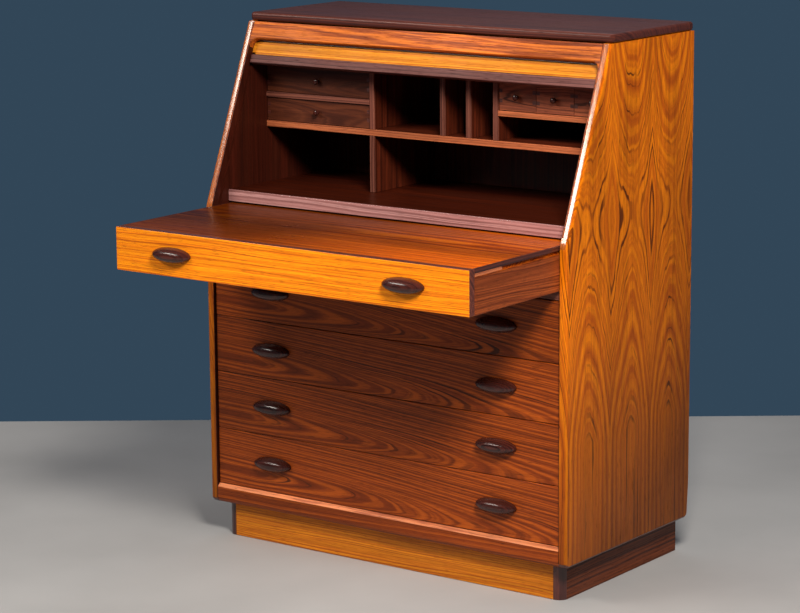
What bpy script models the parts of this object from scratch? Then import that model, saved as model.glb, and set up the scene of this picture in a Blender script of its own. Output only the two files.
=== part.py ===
"""Secretary desk with a sloped tambour front, a pull-out writing slide, four wide drawers and a set of pigeonholes.

Metres, +Z up. X runs along the width and the front faces -Y. Heights are measured from the floor, and depths from
the plane of the case's front edges. The empty "desk" moves that plane so that the origin is the middle of the base
of the desk's box with the writing slide pulled out.
"""

import math

import bmesh
import bpy
from mathutils import Matrix, Vector

# Case
WIDTH = 0.920
HEIGHT = 1.1305
DEPTH = 0.478
TOP_DEPTH = 0.315
PANEL = 0.019
TOP_THICK = 0.0187
PLINTH_HEIGHT = 0.0755
KNEE_HEIGHT = 0.7285
BACK_THICK = 0.0055
GAP = 0.0003  # between pieces that touch on the real desk

# Shapes of the case's edges
EDGE_ROUND = 0.0075
BASE_ROUND = 0.013
KNEE_ROUND = 0.045
TOP_ROUND = 0.005

# Header above the tambour
HEADER_LOW = 0.378  # up the slope from the knee
HEADER_THICK = 0.0145
HEADER_FILLET = 0.018

# Plinth
PLINTH_FRONT = 0.026
PLINTH_SIDE = 0.025
PLINTH_BACK = 0.007
PLINTH_BOARD = 0.022
PLINTH_ROUND = 0.020

# Boards across the case: lowest and highest level
BOTTOM_LIP = 0.0425
BOTTOM_THICK = 0.019
LIP_DEPTH = 0.030
LIP_CHAMFER = 0.007
DUST_BOARD = (0.6195, 0.6385)
FLOOR_BOARD = (0.7377, 0.7586)
FLOOR_FRONT = 0.0554
DUST_FRONT = 0.008

# Pigeonholes
CUBBY_FRONT = 0.190
CUBBY_BACK = 0.410
CUBBY_BACK_THICK = 0.006
SHELF = (0.8804, 0.8936)
SMALL_SHELF = (0.9453, 0.9567)
CEILING = (1.016, 1.028)
DIVIDER_THICK = 0.012
LOWER_DIVIDER_X = -0.155
UPPER_DIVIDER_X = {
    "divider_left": -0.155,
    "divider_middle_left": 0.028,
    "divider_middle_right": 0.0935,
    "divider_right": 0.161,
}

# Small drawers
SMALL_FRONT = 0.194
SMALL_DEPTH = 0.166
SMALL_WALL = 0.007
SMALL_BOTTOM = 0.005
SMALL_CLEAR = 0.001

# Writing slide, pulled out
SLIDE_OUT = 0.3135
SLIDE_TOP = 0.730
SLIDE_HEIGHT = 0.0905
SLIDE_BOARD = 0.018
SLIDE_LENGTH = 0.455
SLIDE_WALL = 0.016
SLIDE_GROOVE = (0.7135, 0.7205)
SLIDE_GROOVE_DEPTH = 0.0075
SLIDE_RUNNER_FRONT = 0.126

# Drawers
FRONT_RECESS = 0.006
DRAWER_LINES = (0.1192, 0.2430, 0.3689, 0.4920, 0.6188)
DRAWER_CLEAR = 0.0015
DRAWER_JOINT = 0.0014
DRAWER_DEPTH = 0.375
DRAWER_WALL = 0.013
DRAWER_BOTTOM = 0.006
RUNNER_HEIGHT = 0.012
RUNNER_REACH = 0.0085
RUNNER_PLAY = 0.0006

# Handles and knobs
HANDLE_X = 0.289
HANDLE_LENGTH = 0.098
HANDLE_HEIGHT = 0.029
HANDLE_PROUD = 0.022
KNOB_LENGTH = 0.012
KNOB_RADIUS = 0.0055

# Tambour: distances run up the slope from the knee, then along the track
SLAT_BACK = 0.024  # behind the plane of the slope
SLAT_THICK = 0.0065
SLAT_HALF_WIDTH = 0.4345
SLAT_PITCH = 0.0198
SLAT_GAP = 0.0018
SLAT_BEVEL = 0.0018
CANVAS_THICK = 0.0009
RAIL_HEIGHT = 0.0195
RAIL_FRONT = 0.012  # behind the plane of the slope
RAIL_BACK = 0.027
LEAD_SLAT = (0.0203, 0.0492)
FIRST_SLAT = 0.051
TRACK_CORNER = 1.094
TRACK_ROUND = 0.033
TRACK_FALL = math.radians(13.0)
TAMBOUR_OPEN = 0.3245
TAMBOUR_SHUT = 0.0150
GROOVE = (0.0165, 0.0250)  # behind the plane of the slope
GROOVE_DEPTH = 0.006
GROOVE_FOOT = 0.012
TONGUE_REACH = 0.0045
BACK_GROUPS = (("tambour_back_1", 6), ("tambour_back_2", 7))

# Worked out from the sizes above
HALF = WIDTH / 2
INNER = HALF - PANEL
BETWEEN = INNER - GAP
TOP_UNDER = HEIGHT - TOP_THICK
TOP_FRONT = DEPTH - TOP_DEPTH
LEAN = math.atan2(TOP_FRONT, HEIGHT - KNEE_HEIGHT)
UP_SLOPE = Vector((math.sin(LEAN), math.cos(LEAN)))  # depth and height for a metre up the slope
OUT_SLOPE = Vector((-math.cos(LEAN), math.sin(LEAN)))
KNEE = Vector((0.0, KNEE_HEIGHT))
BACK_INNER = DEPTH - BACK_THICK - GAP
SLIDE_FRONT_Y = FRONT_RECESS - SLIDE_OUT
ORIGIN_SHIFT = -(DEPTH + SLIDE_FRONT_Y - HANDLE_PROUD - GAP) / 2

SECTION_TURN = (math.pi / 2, 0.0, math.pi / 2)  # lays an outline of depth and height across the width
SLOPE_TURN = (math.pi / 2 - LEAN, 0.0, 0.0)

WOODS = {
    "rosewood_case": ((0.36, 0.13, 0.035), 0.30),
    "rosewood_dark": ((0.085, 0.028, 0.018), 0.28),
    "rosewood_front": ((0.16, 0.05, 0.022), 0.30),
    "rosewood_slide": ((0.55, 0.20, 0.035), 0.28),
    "rosewood_inside": ((0.13, 0.035, 0.018), 0.38),
    "rosewood_edge": ((0.40, 0.16, 0.09), 0.36),
    "tambour_slats": ((0.62, 0.27, 0.06), 0.34),
    "handle_wood": ((0.045, 0.014, 0.010), 0.22),
    "drawer_lining": ((0.45, 0.27, 0.13), 0.50),
    "back_ply": ((0.30, 0.16, 0.08), 0.55),
}


# ---------------------------------------------------------------- scene and materials


def clear_scene():
    """Remove the start-up objects."""
    for obj in list(bpy.data.objects):
        bpy.data.objects.remove(obj, do_unlink=True)


def new_collection(name):
    collection = bpy.data.collections.new(name)
    bpy.context.scene.collection.children.link(collection)
    return collection


def new_material(name, colour, roughness):
    material = bpy.data.materials.new(name)
    material.use_nodes = True
    shader = material.node_tree.nodes["Principled BSDF"]
    shader.inputs["Base Color"].default_value = (*colour, 1.0)
    shader.inputs["Roughness"].default_value = roughness
    shader.inputs["Metallic"].default_value = 0.0
    return material


# ---------------------------------------------------------------- shapes


def box_mesh(name, low, high):
    """A box between two corners, as a mesh about its own middle, and that middle."""
    low, high = Vector(low), Vector(high)
    mesh = bpy.data.meshes.new(name)
    shape = bmesh.new()
    bmesh.ops.create_cube(shape, size=1.0, matrix=Matrix.Diagonal((*(high - low), 1.0)))
    shape.to_mesh(mesh)
    shape.free()
    return mesh, (low + high) / 2


def outline_mesh(name, points, thickness):
    """A flat outline made as thick as asked, half of it to each side, with its caps welded to its sides."""
    curve = bpy.data.curves.new(name, "CURVE")
    curve.dimensions = "2D"
    curve.fill_mode = "BOTH"
    curve.extrude = thickness / 2
    spline = curve.splines.new("POLY")
    spline.points.add(len(points) - 1)
    for point, (x, y) in zip(spline.points, points):
        point.co = (x, y, 0.0, 1.0)
    spline.use_cyclic_u = True
    guide = bpy.data.objects.new(name, curve)
    bpy.context.scene.collection.objects.link(guide)
    graph = bpy.context.evaluated_depsgraph_get()
    mesh = bpy.data.meshes.new_from_object(guide.evaluated_get(graph))
    bpy.data.objects.remove(guide, do_unlink=True)
    shape = bmesh.new()
    shape.from_mesh(mesh)
    bmesh.ops.remove_doubles(shape, verts=shape.verts, dist=1e-6)
    bmesh.ops.recalc_face_normals(shape, faces=shape.faces)
    bmesh.ops.dissolve_limit(shape, angle_limit=math.radians(0.5), verts=shape.verts, edges=shape.edges)
    shape.to_mesh(mesh)
    shape.free()
    return mesh


def rounded(corners, steps=5):
    """An outline whose corners (x, y, radius) are rounded; a corner with no radius stays sharp."""
    points = []
    for i, (x, y, radius) in enumerate(corners):
        here = Vector((x, y))
        if not radius:
            points.append(here)
            continue
        before = (Vector(corners[i - 1][:2]) - here).normalized()
        after = (Vector(corners[(i + 1) % len(corners)][:2]) - here).normalized()
        half_angle = before.angle(after) / 2
        reach = radius / math.tan(half_angle)
        start, end = here + before * reach, here + after * reach
        middle = here + (before + after).normalized() * radius / math.sin(half_angle)
        first, last = start - middle, end - middle
        sweep = first.angle_signed(last)
        for k in range(steps + 1):
            turn = Matrix.Rotation(-sweep * k / steps, 2)
            points.append(middle + turn @ first)
    return points


class Bench:
    """Puts finished pieces into the desk's collection, with their materials, parents and modifiers."""

    def __init__(self):
        self.pieces = new_collection("secretary_desk")
        self.cutters = new_collection("cutters")
        self.woods = {name: new_material(name, *values) for name, values in WOODS.items()}
        self.desk = self.empty("desk", (0.0, ORIGIN_SHIFT, 0.0))

    def empty(self, name, location, parent=None):
        """A point to hang pieces on: a joint's axis or the desk's origin."""
        holder = bpy.data.objects.new(name, None)
        self.pieces.objects.link(holder)
        holder.empty_display_size = 0.03
        holder.parent = parent
        holder.location = location
        return holder

    def add(self, name, mesh, wood, location, parent=None, turn=(0.0, 0.0, 0.0)):
        piece = bpy.data.objects.new(name, mesh)
        self.pieces.objects.link(piece)
        mesh.materials.clear()
        mesh.materials.append(self.woods[wood])
        piece.parent = parent or self.desk
        piece.location = location
        piece.rotation_euler = turn
        return piece

    def board(self, name, low, high, wood, parent=None, edge=0.0):
        """A board between two corners, with its arrises eased where edge says how much."""
        mesh, middle = box_mesh(name, low, high)
        piece = self.add(name, mesh, wood, middle, parent)
        if edge:
            self.ease(piece, edge, 1)
        return piece

    def tool(self, name, mesh, location, parent=None, turn=(0.0, 0.0, 0.0)):
        """A shape that is joined to a piece or cut from it, and is no piece itself."""
        helper = bpy.data.objects.new(name, mesh)
        self.cutters.objects.link(helper)
        helper.parent = parent or self.desk
        helper.location = location
        helper.rotation_euler = turn
        helper.hide_render = True
        helper.display_type = "WIRE"
        return helper

    def box_tool(self, name, low, high, parent=None):
        mesh, middle = box_mesh(name, low, high)
        return self.tool(name, mesh, middle, parent)

    @staticmethod
    def ease(piece, width, segments, limit="ANGLE"):
        bevel = piece.modifiers.new("eased_edges", "BEVEL")
        bevel.width = width
        bevel.segments = segments
        bevel.limit_method = limit
        bevel.angle_limit = math.radians(40.0)

    @staticmethod
    def join(piece, helper):
        union = piece.modifiers.new(f"with_{helper.name}", "BOOLEAN")
        union.operation = "UNION"
        union.solver = "EXACT"
        union.object = helper

    @staticmethod
    def cut(piece, helper):
        difference = piece.modifiers.new(f"less_{helper.name}", "BOOLEAN")
        difference.operation = "DIFFERENCE"
        difference.solver = "EXACT"
        difference.object = helper


def weigh_edges(mesh, chosen):
    """Mark the edges to round: chosen(first end, second end) says which."""
    weights = mesh.attributes.new("bevel_weight_edge", "FLOAT", "EDGE")
    for edge in mesh.edges:
        first, second = (mesh.vertices[i].co for i in edge.vertices)
        weights.data[edge.index].value = float(chosen(first, second))


# ---------------------------------------------------------------- the tambour's track


def slope_point(up, behind):
    """Depth and height of a point so far up the slope and so far behind its plane."""
    return KNEE + UP_SLOPE * up - OUT_SLOPE * behind


class Track:
    """The path of the slats' canvas backs: up the slope, round the bend, then back and a little down."""

    def __init__(self, behind=SLAT_BACK):
        shift = behind - SLAT_BACK
        self.radius = TRACK_ROUND - shift
        self.foot = slope_point(0.0, behind)
        turned = math.pi / 2 - LEAN + TRACK_FALL
        canvas_foot = slope_point(0.0, SLAT_BACK)
        corner_up = (TRACK_CORNER - canvas_foot.y) / UP_SLOPE.y
        self.straight = corner_up - TRACK_ROUND * math.tan(turned / 2)
        self.centre = slope_point(self.straight, SLAT_BACK + TRACK_ROUND)
        self.turned = turned
        self.back_way = Vector((math.cos(TRACK_FALL), -math.sin(TRACK_FALL)))
        self.back_out = Vector((math.sin(TRACK_FALL), math.cos(TRACK_FALL)))
        self.arc = TRACK_ROUND * turned

    def on_bend(self, share):
        """The point at this share of the bend, from 0 at the slope to 1 at the back run."""
        return self.centre + Matrix.Rotation(-self.turned * share, 2) @ (OUT_SLOPE * self.radius)

    def at(self, along):
        """The point this far along the canvas line."""
        if along <= self.straight:
            return self.foot + UP_SLOPE * along
        if along <= self.straight + self.arc:
            return self.on_bend((along - self.straight) / self.arc)
        return self.on_bend(1.0) + self.back_way * (along - self.straight - self.arc)

    def chord(self, start, end):
        """Where a stiff group lies whose ends are at start and end: its lower back corner and its direction."""
        first, last = self.at(start), self.at(end)
        way = (last - first).normalized()
        return (first + last) / 2 - way * (end - start) / 2, way

    def groove_line(self, last_depth, steps=6):
        """The track from the groove's foot to this depth, as points."""
        points = [self.at(GROOVE_FOOT), self.at(self.straight)]
        points += [self.on_bend(k / steps) for k in range(1, steps + 1)]
        end = points[-1]
        return points + [end + self.back_way * (last_depth - end.x) / self.back_way.x]


def pole_of(start, end):
    """The axis and the angle that carry a stiff group from its open place to its shut place."""
    track = Track()
    open_corner, open_way = track.chord(TAMBOUR_OPEN + start, TAMBOUR_OPEN + end)
    shut_corner, shut_way = track.chord(TAMBOUR_SHUT + start, TAMBOUR_SHUT + end)
    angle = math.atan2(open_way.cross(shut_way), open_way.dot(shut_way))
    turn = Matrix(((math.cos(angle), -math.sin(angle)), (math.sin(angle), math.cos(angle))))
    rest = Matrix.Identity(2) - turn
    return rest.inverted() @ (shut_corner - turn @ open_corner), angle


def tambour_groups():
    """Each stiff group behind the lead slat: its name, how many slats, and where it starts along the curtain."""
    groups, start = [], FIRST_SLAT
    for name, count in (("tambour_slat_1", 1), ("tambour_slat_2", 1), ("tambour_slat_3", 1), *BACK_GROUPS):
        groups.append((name, count, start))
        start += count * SLAT_PITCH
    return groups


def slat_section(count):
    """Section of a run of slats on their canvas, from the canvas line up, with a groove between two slats."""
    points, length = [Vector((0.0, 0.0))], count * SLAT_PITCH - SLAT_GAP
    points.append(Vector((length, 0.0)))
    flank = SLAT_THICK - 0.0025
    for i in reversed(range(count)):
        first = i * SLAT_PITCH
        last = first + SLAT_PITCH - SLAT_GAP
        foot = CANVAS_THICK if i < count - 1 else flank
        points += [Vector((last, h)) for h in ((foot, flank) if i < count - 1 else (flank,))]
        points.append(Vector((last - SLAT_BEVEL, SLAT_THICK)))
        points.append(Vector((first + SLAT_BEVEL, SLAT_THICK)))
        points += [Vector((first, h)) for h in ((flank, CANVAS_THICK) if i else (flank,))]
    return points


# ---------------------------------------------------------------- the case


def side_outline():
    slope_top = slope_point((TOP_UNDER - GAP - KNEE_HEIGHT) / UP_SLOPE.y, 0.0)
    return rounded(
        (
            (0.0, PLINTH_HEIGHT, BASE_ROUND),
            (DEPTH, PLINTH_HEIGHT, BASE_ROUND),
            (DEPTH, slope_top.y, 0.0),
            (slope_top.x, slope_top.y, 0.0),
            (0.0, KNEE_HEIGHT, KNEE_ROUND),
        )
    )


def groove_tool(bench):
    """One bar with the section of the tambour's groove, long enough to cut both side panels."""
    outer, inner = Track(GROOVE[0]), Track(GROOVE[1])
    outline = outer.groove_line(BACK_INNER) + inner.groove_line(BACK_INNER)[::-1]
    mesh = outline_mesh("tambour_groove", outline, 2 * (INNER + GROOVE_DEPTH))
    return bench.tool("tambour_groove", mesh, (0.0, 0.0, 0.0), turn=SECTION_TURN)


def runner_levels():
    """Height of the middle of each wide drawer's runner."""
    return [(low + high) / 2 + 0.012 for low, high in zip(DRAWER_LINES, DRAWER_LINES[1:])]


def make_sides(bench):
    groove = groove_tool(bench)
    top = TOP_UNDER - 2 * GAP
    for name, side in (("side_panel_left", -1), ("side_panel_right", 1)):
        mesh = outline_mesh(name, side_outline(), PANEL)
        weigh_edges(mesh, lambda a, b: abs(a.z - b.z) < 1e-6 and min(a.y, b.y) < top and max(a.x, b.x) < DEPTH)
        panel = bench.add(name, mesh, "rosewood_case", (side * (INNER + HALF) / 2, 0.0, 0.0), turn=SECTION_TURN)
        bench.ease(panel, EDGE_ROUND, 3, "WEIGHT")
        bench.cut(panel, groove)
        ends = sorted((side * (INNER - RUNNER_REACH), side * (INNER + PANEL / 2)))
        for number, level in enumerate(runner_levels(), 1):
            low = (ends[0], 0.040, level - RUNNER_HEIGHT / 2)
            high = (ends[1], 0.440, level + RUNNER_HEIGHT / 2)
            bench.join(panel, bench.box_tool(f"runner_{number}_{name[11:]}", low, high))
        reach = side * (INNER - SLIDE_GROOVE_DEPTH + 0.0025)
        ends = sorted((reach, side * (INNER + PANEL / 2)))
        low = (ends[0], SLIDE_RUNNER_FRONT, SLIDE_GROOVE[0] + RUNNER_PLAY)
        high = (ends[1], 0.440, SLIDE_GROOVE[1] - RUNNER_PLAY)
        bench.join(panel, bench.box_tool(f"slide_runner_{name[11:]}", low, high))


def make_top(bench):
    corner = 0.009
    outline = rounded(
        (
            (-HALF, TOP_FRONT, corner),
            (HALF, TOP_FRONT, corner),
            (HALF, DEPTH, corner),
            (-HALF, DEPTH, corner),
        ),
        steps=4,
    )
    mesh = outline_mesh("top_board", outline, TOP_THICK)
    weigh_edges(mesh, lambda a, b: abs(a.z - b.z) < 1e-6)
    top = bench.add("top_board", mesh, "rosewood_dark", (0.0, 0.0, HEIGHT - TOP_THICK / 2))
    bench.ease(top, TOP_ROUND, 3, "WEIGHT")


def make_header(bench):
    top = (TOP_UNDER - GAP - KNEE_HEIGHT) / UP_SLOPE.y
    tip = HEADER_LOW - HEADER_FILLET
    arc = []
    for k in range(7):
        angle = math.pi * (1 - k / 12)
        arc.append((
            -BETWEEN + HEADER_FILLET * (1 + math.cos(angle)),
            tip + HEADER_FILLET * math.sin(angle),
        ))
    outline = [(-BETWEEN, top), *arc, *[(-x, up) for x, up in reversed(arc)], (BETWEEN, top)]
    mesh = outline_mesh("header_rail", outline, HEADER_THICK)
    middle = slope_point(0.0, HEADER_THICK / 2)
    bench.add("header_rail", mesh, "rosewood_front", (0.0, *middle), turn=SLOPE_TURN)


def make_bottom(bench):
    low = PLINTH_HEIGHT + GAP
    lip = low + BOTTOM_LIP
    outline = rounded(
        (
            (0.0, low, BASE_ROUND),
            (BACK_INNER, low, 0.0),
            (BACK_INNER, low + BOTTOM_THICK, 0.0),
            (LIP_DEPTH, low + BOTTOM_THICK, 0.0),
            (LIP_DEPTH, lip, 0.0),
            (LIP_CHAMFER, lip, 0.0),
            (0.0, lip - LIP_CHAMFER, 0.0),
        )
    )
    mesh = outline_mesh("bottom_board", outline, 2 * BETWEEN)
    bench.add("bottom_board", mesh, "rosewood_front", (0.0, 0.0, 0.0), turn=SECTION_TURN)


def make_back(bench):
    low, high = PLINTH_HEIGHT + GAP, TOP_UNDER - GAP
    bench.board("back_panel", (-BETWEEN, DEPTH - BACK_THICK, low), (BETWEEN, DEPTH, high), "back_ply")


def make_plinth(bench):
    outer = HALF - PLINTH_SIDE
    inner = outer - PLINTH_BOARD
    front, back = PLINTH_FRONT, DEPTH - PLINTH_BACK
    high = PLINTH_HEIGHT - GAP
    for name, side in (("plinth_left", -1), ("plinth_right", 1)):
        corners = [
            (side * outer, front, PLINTH_ROUND),
            (side * inner, front, 0.0),
            (side * inner, back, 0.0),
            (side * outer, back, 0.0),
        ]
        mesh = outline_mesh(name, rounded(corners, steps=6), high)
        bench.add(name, mesh, "rosewood_dark", (0.0, 0.0, high / 2))
    reach = inner - GAP
    bench.board("plinth_front", (-reach, front, 0.0), (reach, front + PANEL, high), "rosewood_slide")
    bench.board("plinth_back", (-reach, back - PANEL, 0.0), (reach, back, high), "rosewood_dark")


def make_inner_boards(bench):
    for name, front, (low, high), wood in (
        ("dust_board", DUST_FRONT, DUST_BOARD, "rosewood_front"),
        ("floor_board", FLOOR_FRONT, FLOOR_BOARD, "rosewood_inside"),
    ):
        bench.board(name, (-BETWEEN, front, low), (BETWEEN, BACK_INNER, high), wood, edge=0.0012)


# ---------------------------------------------------------------- the pigeonholes


def make_pigeonholes(bench):
    deep = CUBBY_BACK - GAP
    bench.board(
        "cubby_back",
        (-BETWEEN, CUBBY_BACK, FLOOR_BOARD[1] + GAP),
        (BETWEEN, CUBBY_BACK + CUBBY_BACK_THICK, CEILING[1]),
        "rosewood_inside",
    )
    for name, (low, high) in (("cubby_top", CEILING), ("middle_shelf", SHELF)):
        bench.board(name, (-BETWEEN, CUBBY_FRONT, low), (BETWEEN, deep, high), "rosewood_edge", edge=0.0008)
    half = DIVIDER_THICK / 2
    bench.board(
        "lower_divider",
        (LOWER_DIVIDER_X - half, CUBBY_FRONT, FLOOR_BOARD[1] + GAP),
        (LOWER_DIVIDER_X + half, deep, SHELF[0] - GAP),
        "rosewood_edge",
        edge=0.0008,
    )
    for name, x in UPPER_DIVIDER_X.items():
        low, high = (x - half, CUBBY_FRONT, SHELF[1] + GAP), (x + half, deep, CEILING[0] - GAP)
        bench.board(name, low, high, "rosewood_edge", edge=0.0008)
    left = UPPER_DIVIDER_X["divider_left"] - half - GAP
    right = UPPER_DIVIDER_X["divider_right"] + half + GAP
    for name, start, end in (("small_shelf_left", -BETWEEN, left), ("small_shelf_right", right, BETWEEN)):
        low, high = (start, CUBBY_FRONT, SMALL_SHELF[0]), (end, deep, SMALL_SHELF[1])
        bench.board(name, low, high, "rosewood_edge", edge=0.0008)


def knob_mesh(name):
    """A small turned knob whose foot is at its own origin and whose axis is +Z."""
    profile = [
        (0.0, KNOB_LENGTH),
        (0.55 * KNOB_RADIUS, 0.97 * KNOB_LENGTH),
        (0.92 * KNOB_RADIUS, 0.80 * KNOB_LENGTH),
        (KNOB_RADIUS, 0.58 * KNOB_LENGTH),
        (0.62 * KNOB_RADIUS, 0.30 * KNOB_LENGTH),
        (0.55 * KNOB_RADIUS, 0.0),
        (0.0, 0.0),
    ]
    mesh = bpy.data.meshes.new(name)
    shape = bmesh.new()
    dots = [shape.verts.new((x, 0.0, z)) for x, z in profile]
    for first, second in zip(dots, dots[1:]):
        shape.edges.new((first, second))
    shape.to_mesh(mesh)
    shape.free()
    return mesh


def make_small_drawer(bench, name, span, levels):
    """An open box with its knob, on an empty at the middle of its front."""
    left, right = span
    low, high = levels
    middle = Vector(((left + right) / 2, SMALL_FRONT, (low + high) / 2))
    axis = bench.empty(f"{name}_axis", middle, bench.desk)
    half = Vector(((right - left) / 2, 0.0, (high - low) / 2))
    box = bench.board(name, (-half.x, 0.0, -half.z), (half.x, SMALL_DEPTH, half.z), "rosewood_inside", axis)
    room_low = (-half.x + SMALL_WALL, SMALL_WALL + 0.002, -half.z + SMALL_BOTTOM)
    room_high = (half.x - SMALL_WALL, SMALL_DEPTH - SMALL_WALL, half.z + 0.01)
    bench.cut(box, bench.box_tool(f"{name}_room", room_low, room_high, axis))
    knob = bench.add(f"{name}_knob", knob_mesh(name), "handle_wood", (0.0, -GAP, 0.0), axis, (math.pi / 2, 0, 0))
    turned = knob.modifiers.new("turned", "SCREW")
    turned.steps = turned.render_steps = 12
    turned.use_merge_vertices = True
    turned.merge_threshold = 0.0001


def make_small_drawers(bench):
    half = DIVIDER_THICK / 2
    upper = (SMALL_SHELF[1] + SMALL_CLEAR, CEILING[0] - SMALL_CLEAR)
    lower = (SHELF[1] + SMALL_CLEAR, SMALL_SHELF[0] - SMALL_CLEAR)
    edge = UPPER_DIVIDER_X["divider_left"] - half - SMALL_CLEAR
    wall = INNER - SMALL_CLEAR
    make_small_drawer(bench, "small_drawer_upper", (-wall, edge), upper)
    make_small_drawer(bench, "small_drawer_lower", (-wall, edge), lower)
    start = UPPER_DIVIDER_X["divider_right"] + half + SMALL_CLEAR
    width = (wall - start + SMALL_CLEAR) / 3
    for number, name in enumerate(("small_drawer_a", "small_drawer_b", "small_drawer_c")):
        left = start + number * width
        make_small_drawer(bench, name, (left, left + width - SMALL_CLEAR), upper)


# ---------------------------------------------------------------- drawers and the writing slide


def handle_mesh(name):
    """A long pod with a flat back: the front half of a stretched sphere, its back at y = 0."""
    mesh = bpy.data.meshes.new(name)
    shape = bmesh.new()
    half = (HANDLE_LENGTH / 2, HANDLE_PROUD, HANDLE_HEIGHT / 2)
    lie = Matrix.Rotation(math.pi / 2, 4, "Y")
    bmesh.ops.create_uvsphere(shape, u_segments=16, v_segments=10, radius=1.0, matrix=Matrix.Diagonal((*half, 1.0)) @ lie)
    everything = shape.verts[:] + shape.edges[:] + shape.faces[:]
    cut = bmesh.ops.bisect_plane(shape, geom=everything, plane_co=(0, 0, 0), plane_no=(0, 1, 0), clear_outer=True)
    rim = [part for part in cut["geom_cut"] if isinstance(part, bmesh.types.BMEdge)]
    bmesh.ops.holes_fill(shape, edges=rim, sides=0)
    bmesh.ops.recalc_face_normals(shape, faces=shape.faces)
    shape.to_mesh(mesh)
    shape.free()
    mesh.shade_smooth()
    return mesh


def add_handles(bench, name, axis):
    for side, x in (("left", -HANDLE_X), ("right", HANDLE_X)):
        mesh = handle_mesh(f"{name}_handle_{side}")
        bench.add(f"{name}_handle_{side}", mesh, "handle_wood", (x, -GAP, 0.0), axis)


def make_drawer(bench, number, low, high, runner):
    """A wide drawer on an empty at the middle of its front face."""
    name = f"drawer_{number}"
    bottom, top = low + DRAWER_JOINT / 2, high - DRAWER_JOINT / 2
    middle = (bottom + top) / 2
    axis = bench.empty(f"{name}_axis", (0.0, FRONT_RECESS, middle), bench.desk)
    reach, half = INNER - DRAWER_CLEAR, (top - bottom) / 2
    bench.board(f"{name}_front", (-reach, 0.0, -half), (reach, PANEL, half), "rosewood_front", axis, edge=0.0012)
    start, end = PANEL + GAP, PANEL + DRAWER_DEPTH
    box_low, box_high = -half + 0.006, half - 0.014
    box = bench.board(f"{name}_box", (-reach, start, box_low), (reach, end, box_high), "drawer_lining", axis)
    room_low = (-reach + DRAWER_WALL, start + DRAWER_WALL, box_low + DRAWER_BOTTOM)
    room_high = (reach - DRAWER_WALL, end - DRAWER_WALL, box_high + 0.01)
    bench.cut(box, bench.box_tool(f"{name}_room", room_low, room_high, axis))
    level = runner - middle
    for side, word in ((-1, "left"), (1, "right")):
        ends = sorted((side * (INNER - RUNNER_REACH - 0.001), side * HALF))
        groove_low = (ends[0], start + 0.012, level - RUNNER_HEIGHT / 2 - RUNNER_PLAY)
        groove_high = (ends[1], end + 0.01, level + RUNNER_HEIGHT / 2 + RUNNER_PLAY)
        bench.cut(box, bench.box_tool(f"{name}_groove_{word}", groove_low, groove_high, axis))
    add_handles(bench, name, axis)


def make_drawers(bench):
    """The four wide drawers, numbered from the top."""
    spans = list(zip(DRAWER_LINES, DRAWER_LINES[1:], runner_levels()))
    for number, (low, high, runner) in enumerate(reversed(spans), 1):
        make_drawer(bench, number, low, high, runner)


def make_slide(bench):
    """The writing slide on an empty at the middle of its front face, pulled out."""
    low = SLIDE_TOP - SLIDE_HEIGHT
    middle = (low + SLIDE_TOP) / 2
    axis = bench.empty("writing_slide_axis", (0.0, SLIDE_FRONT_Y, middle), bench.desk)
    reach, half = INNER - 0.001, SLIDE_HEIGHT / 2
    start, end = PANEL + GAP, SLIDE_LENGTH
    bench.board("slide_front", (-reach, 0.0, -half), (reach, PANEL, half), "rosewood_slide", axis, edge=0.0012)
    top = bench.board("slide_top", (-reach, start, half - SLIDE_BOARD), (reach, end, half), "rosewood_front", axis)
    groove = [level - middle for level in SLIDE_GROOVE]
    for side, word in ((-1, "left"), (1, "right")):
        ends = sorted((side * (reach - SLIDE_GROOVE_DEPTH), side * HALF))
        groove_low, groove_high = (ends[0], start + 0.004, groove[0]), (ends[1], end + 0.01, groove[1])
        bench.cut(top, bench.box_tool(f"slide_groove_{word}", groove_low, groove_high, axis))
    ledge = half - SLIDE_BOARD - GAP
    frame = bench.board("slide_frame", (-reach, start, -half), (reach, end, ledge), "rosewood_dark", axis)
    bay = (end - start - SLIDE_WALL) / 2
    for word, first in (("front", start), ("rear", start + bay)):
        room_low = (-reach + SLIDE_WALL, first + SLIDE_WALL, -half - 0.01)
        room_high = (reach - SLIDE_WALL, first + bay, ledge + 0.01)
        bench.cut(frame, bench.box_tool(f"slide_bay_{word}", room_low, room_high, axis))
    add_handles(bench, "slide", axis)


# ---------------------------------------------------------------- the tambour


def section_piece(bench, name, section, half_width, wood, axis):
    """A bar across the desk with this section of depths and heights, hung on an axis of that section."""
    mesh = outline_mesh(name, section, 2 * half_width)
    return bench.add(name, mesh, wood, (0.0, 0.0, 0.0), axis, SECTION_TURN)


def across_slope(start, end, front, back, about):
    """The four corners of a bar that lies along the slope, seen from a point of its section."""
    corners = ((start, back), (end, back), (end, front), (start, front))
    return [slope_point(up, behind) - about for up, behind in corners]


def add_tongues(bench, piece, start, end, about, axis):
    """A thin bar through the piece, whose ends run in the side panels' grooves."""
    section = across_slope(start, end, SLAT_BACK - SLAT_THICK + 0.001, SLAT_BACK - 0.0005, about)
    mesh = outline_mesh(f"{piece.name}_tongue", section, 2 * (INNER + TONGUE_REACH))
    tongue = bench.tool(f"{piece.name}_tongue", mesh, (0.0, 0.0, 0.0), axis, SECTION_TURN)
    bench.join(piece, tongue)


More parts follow.
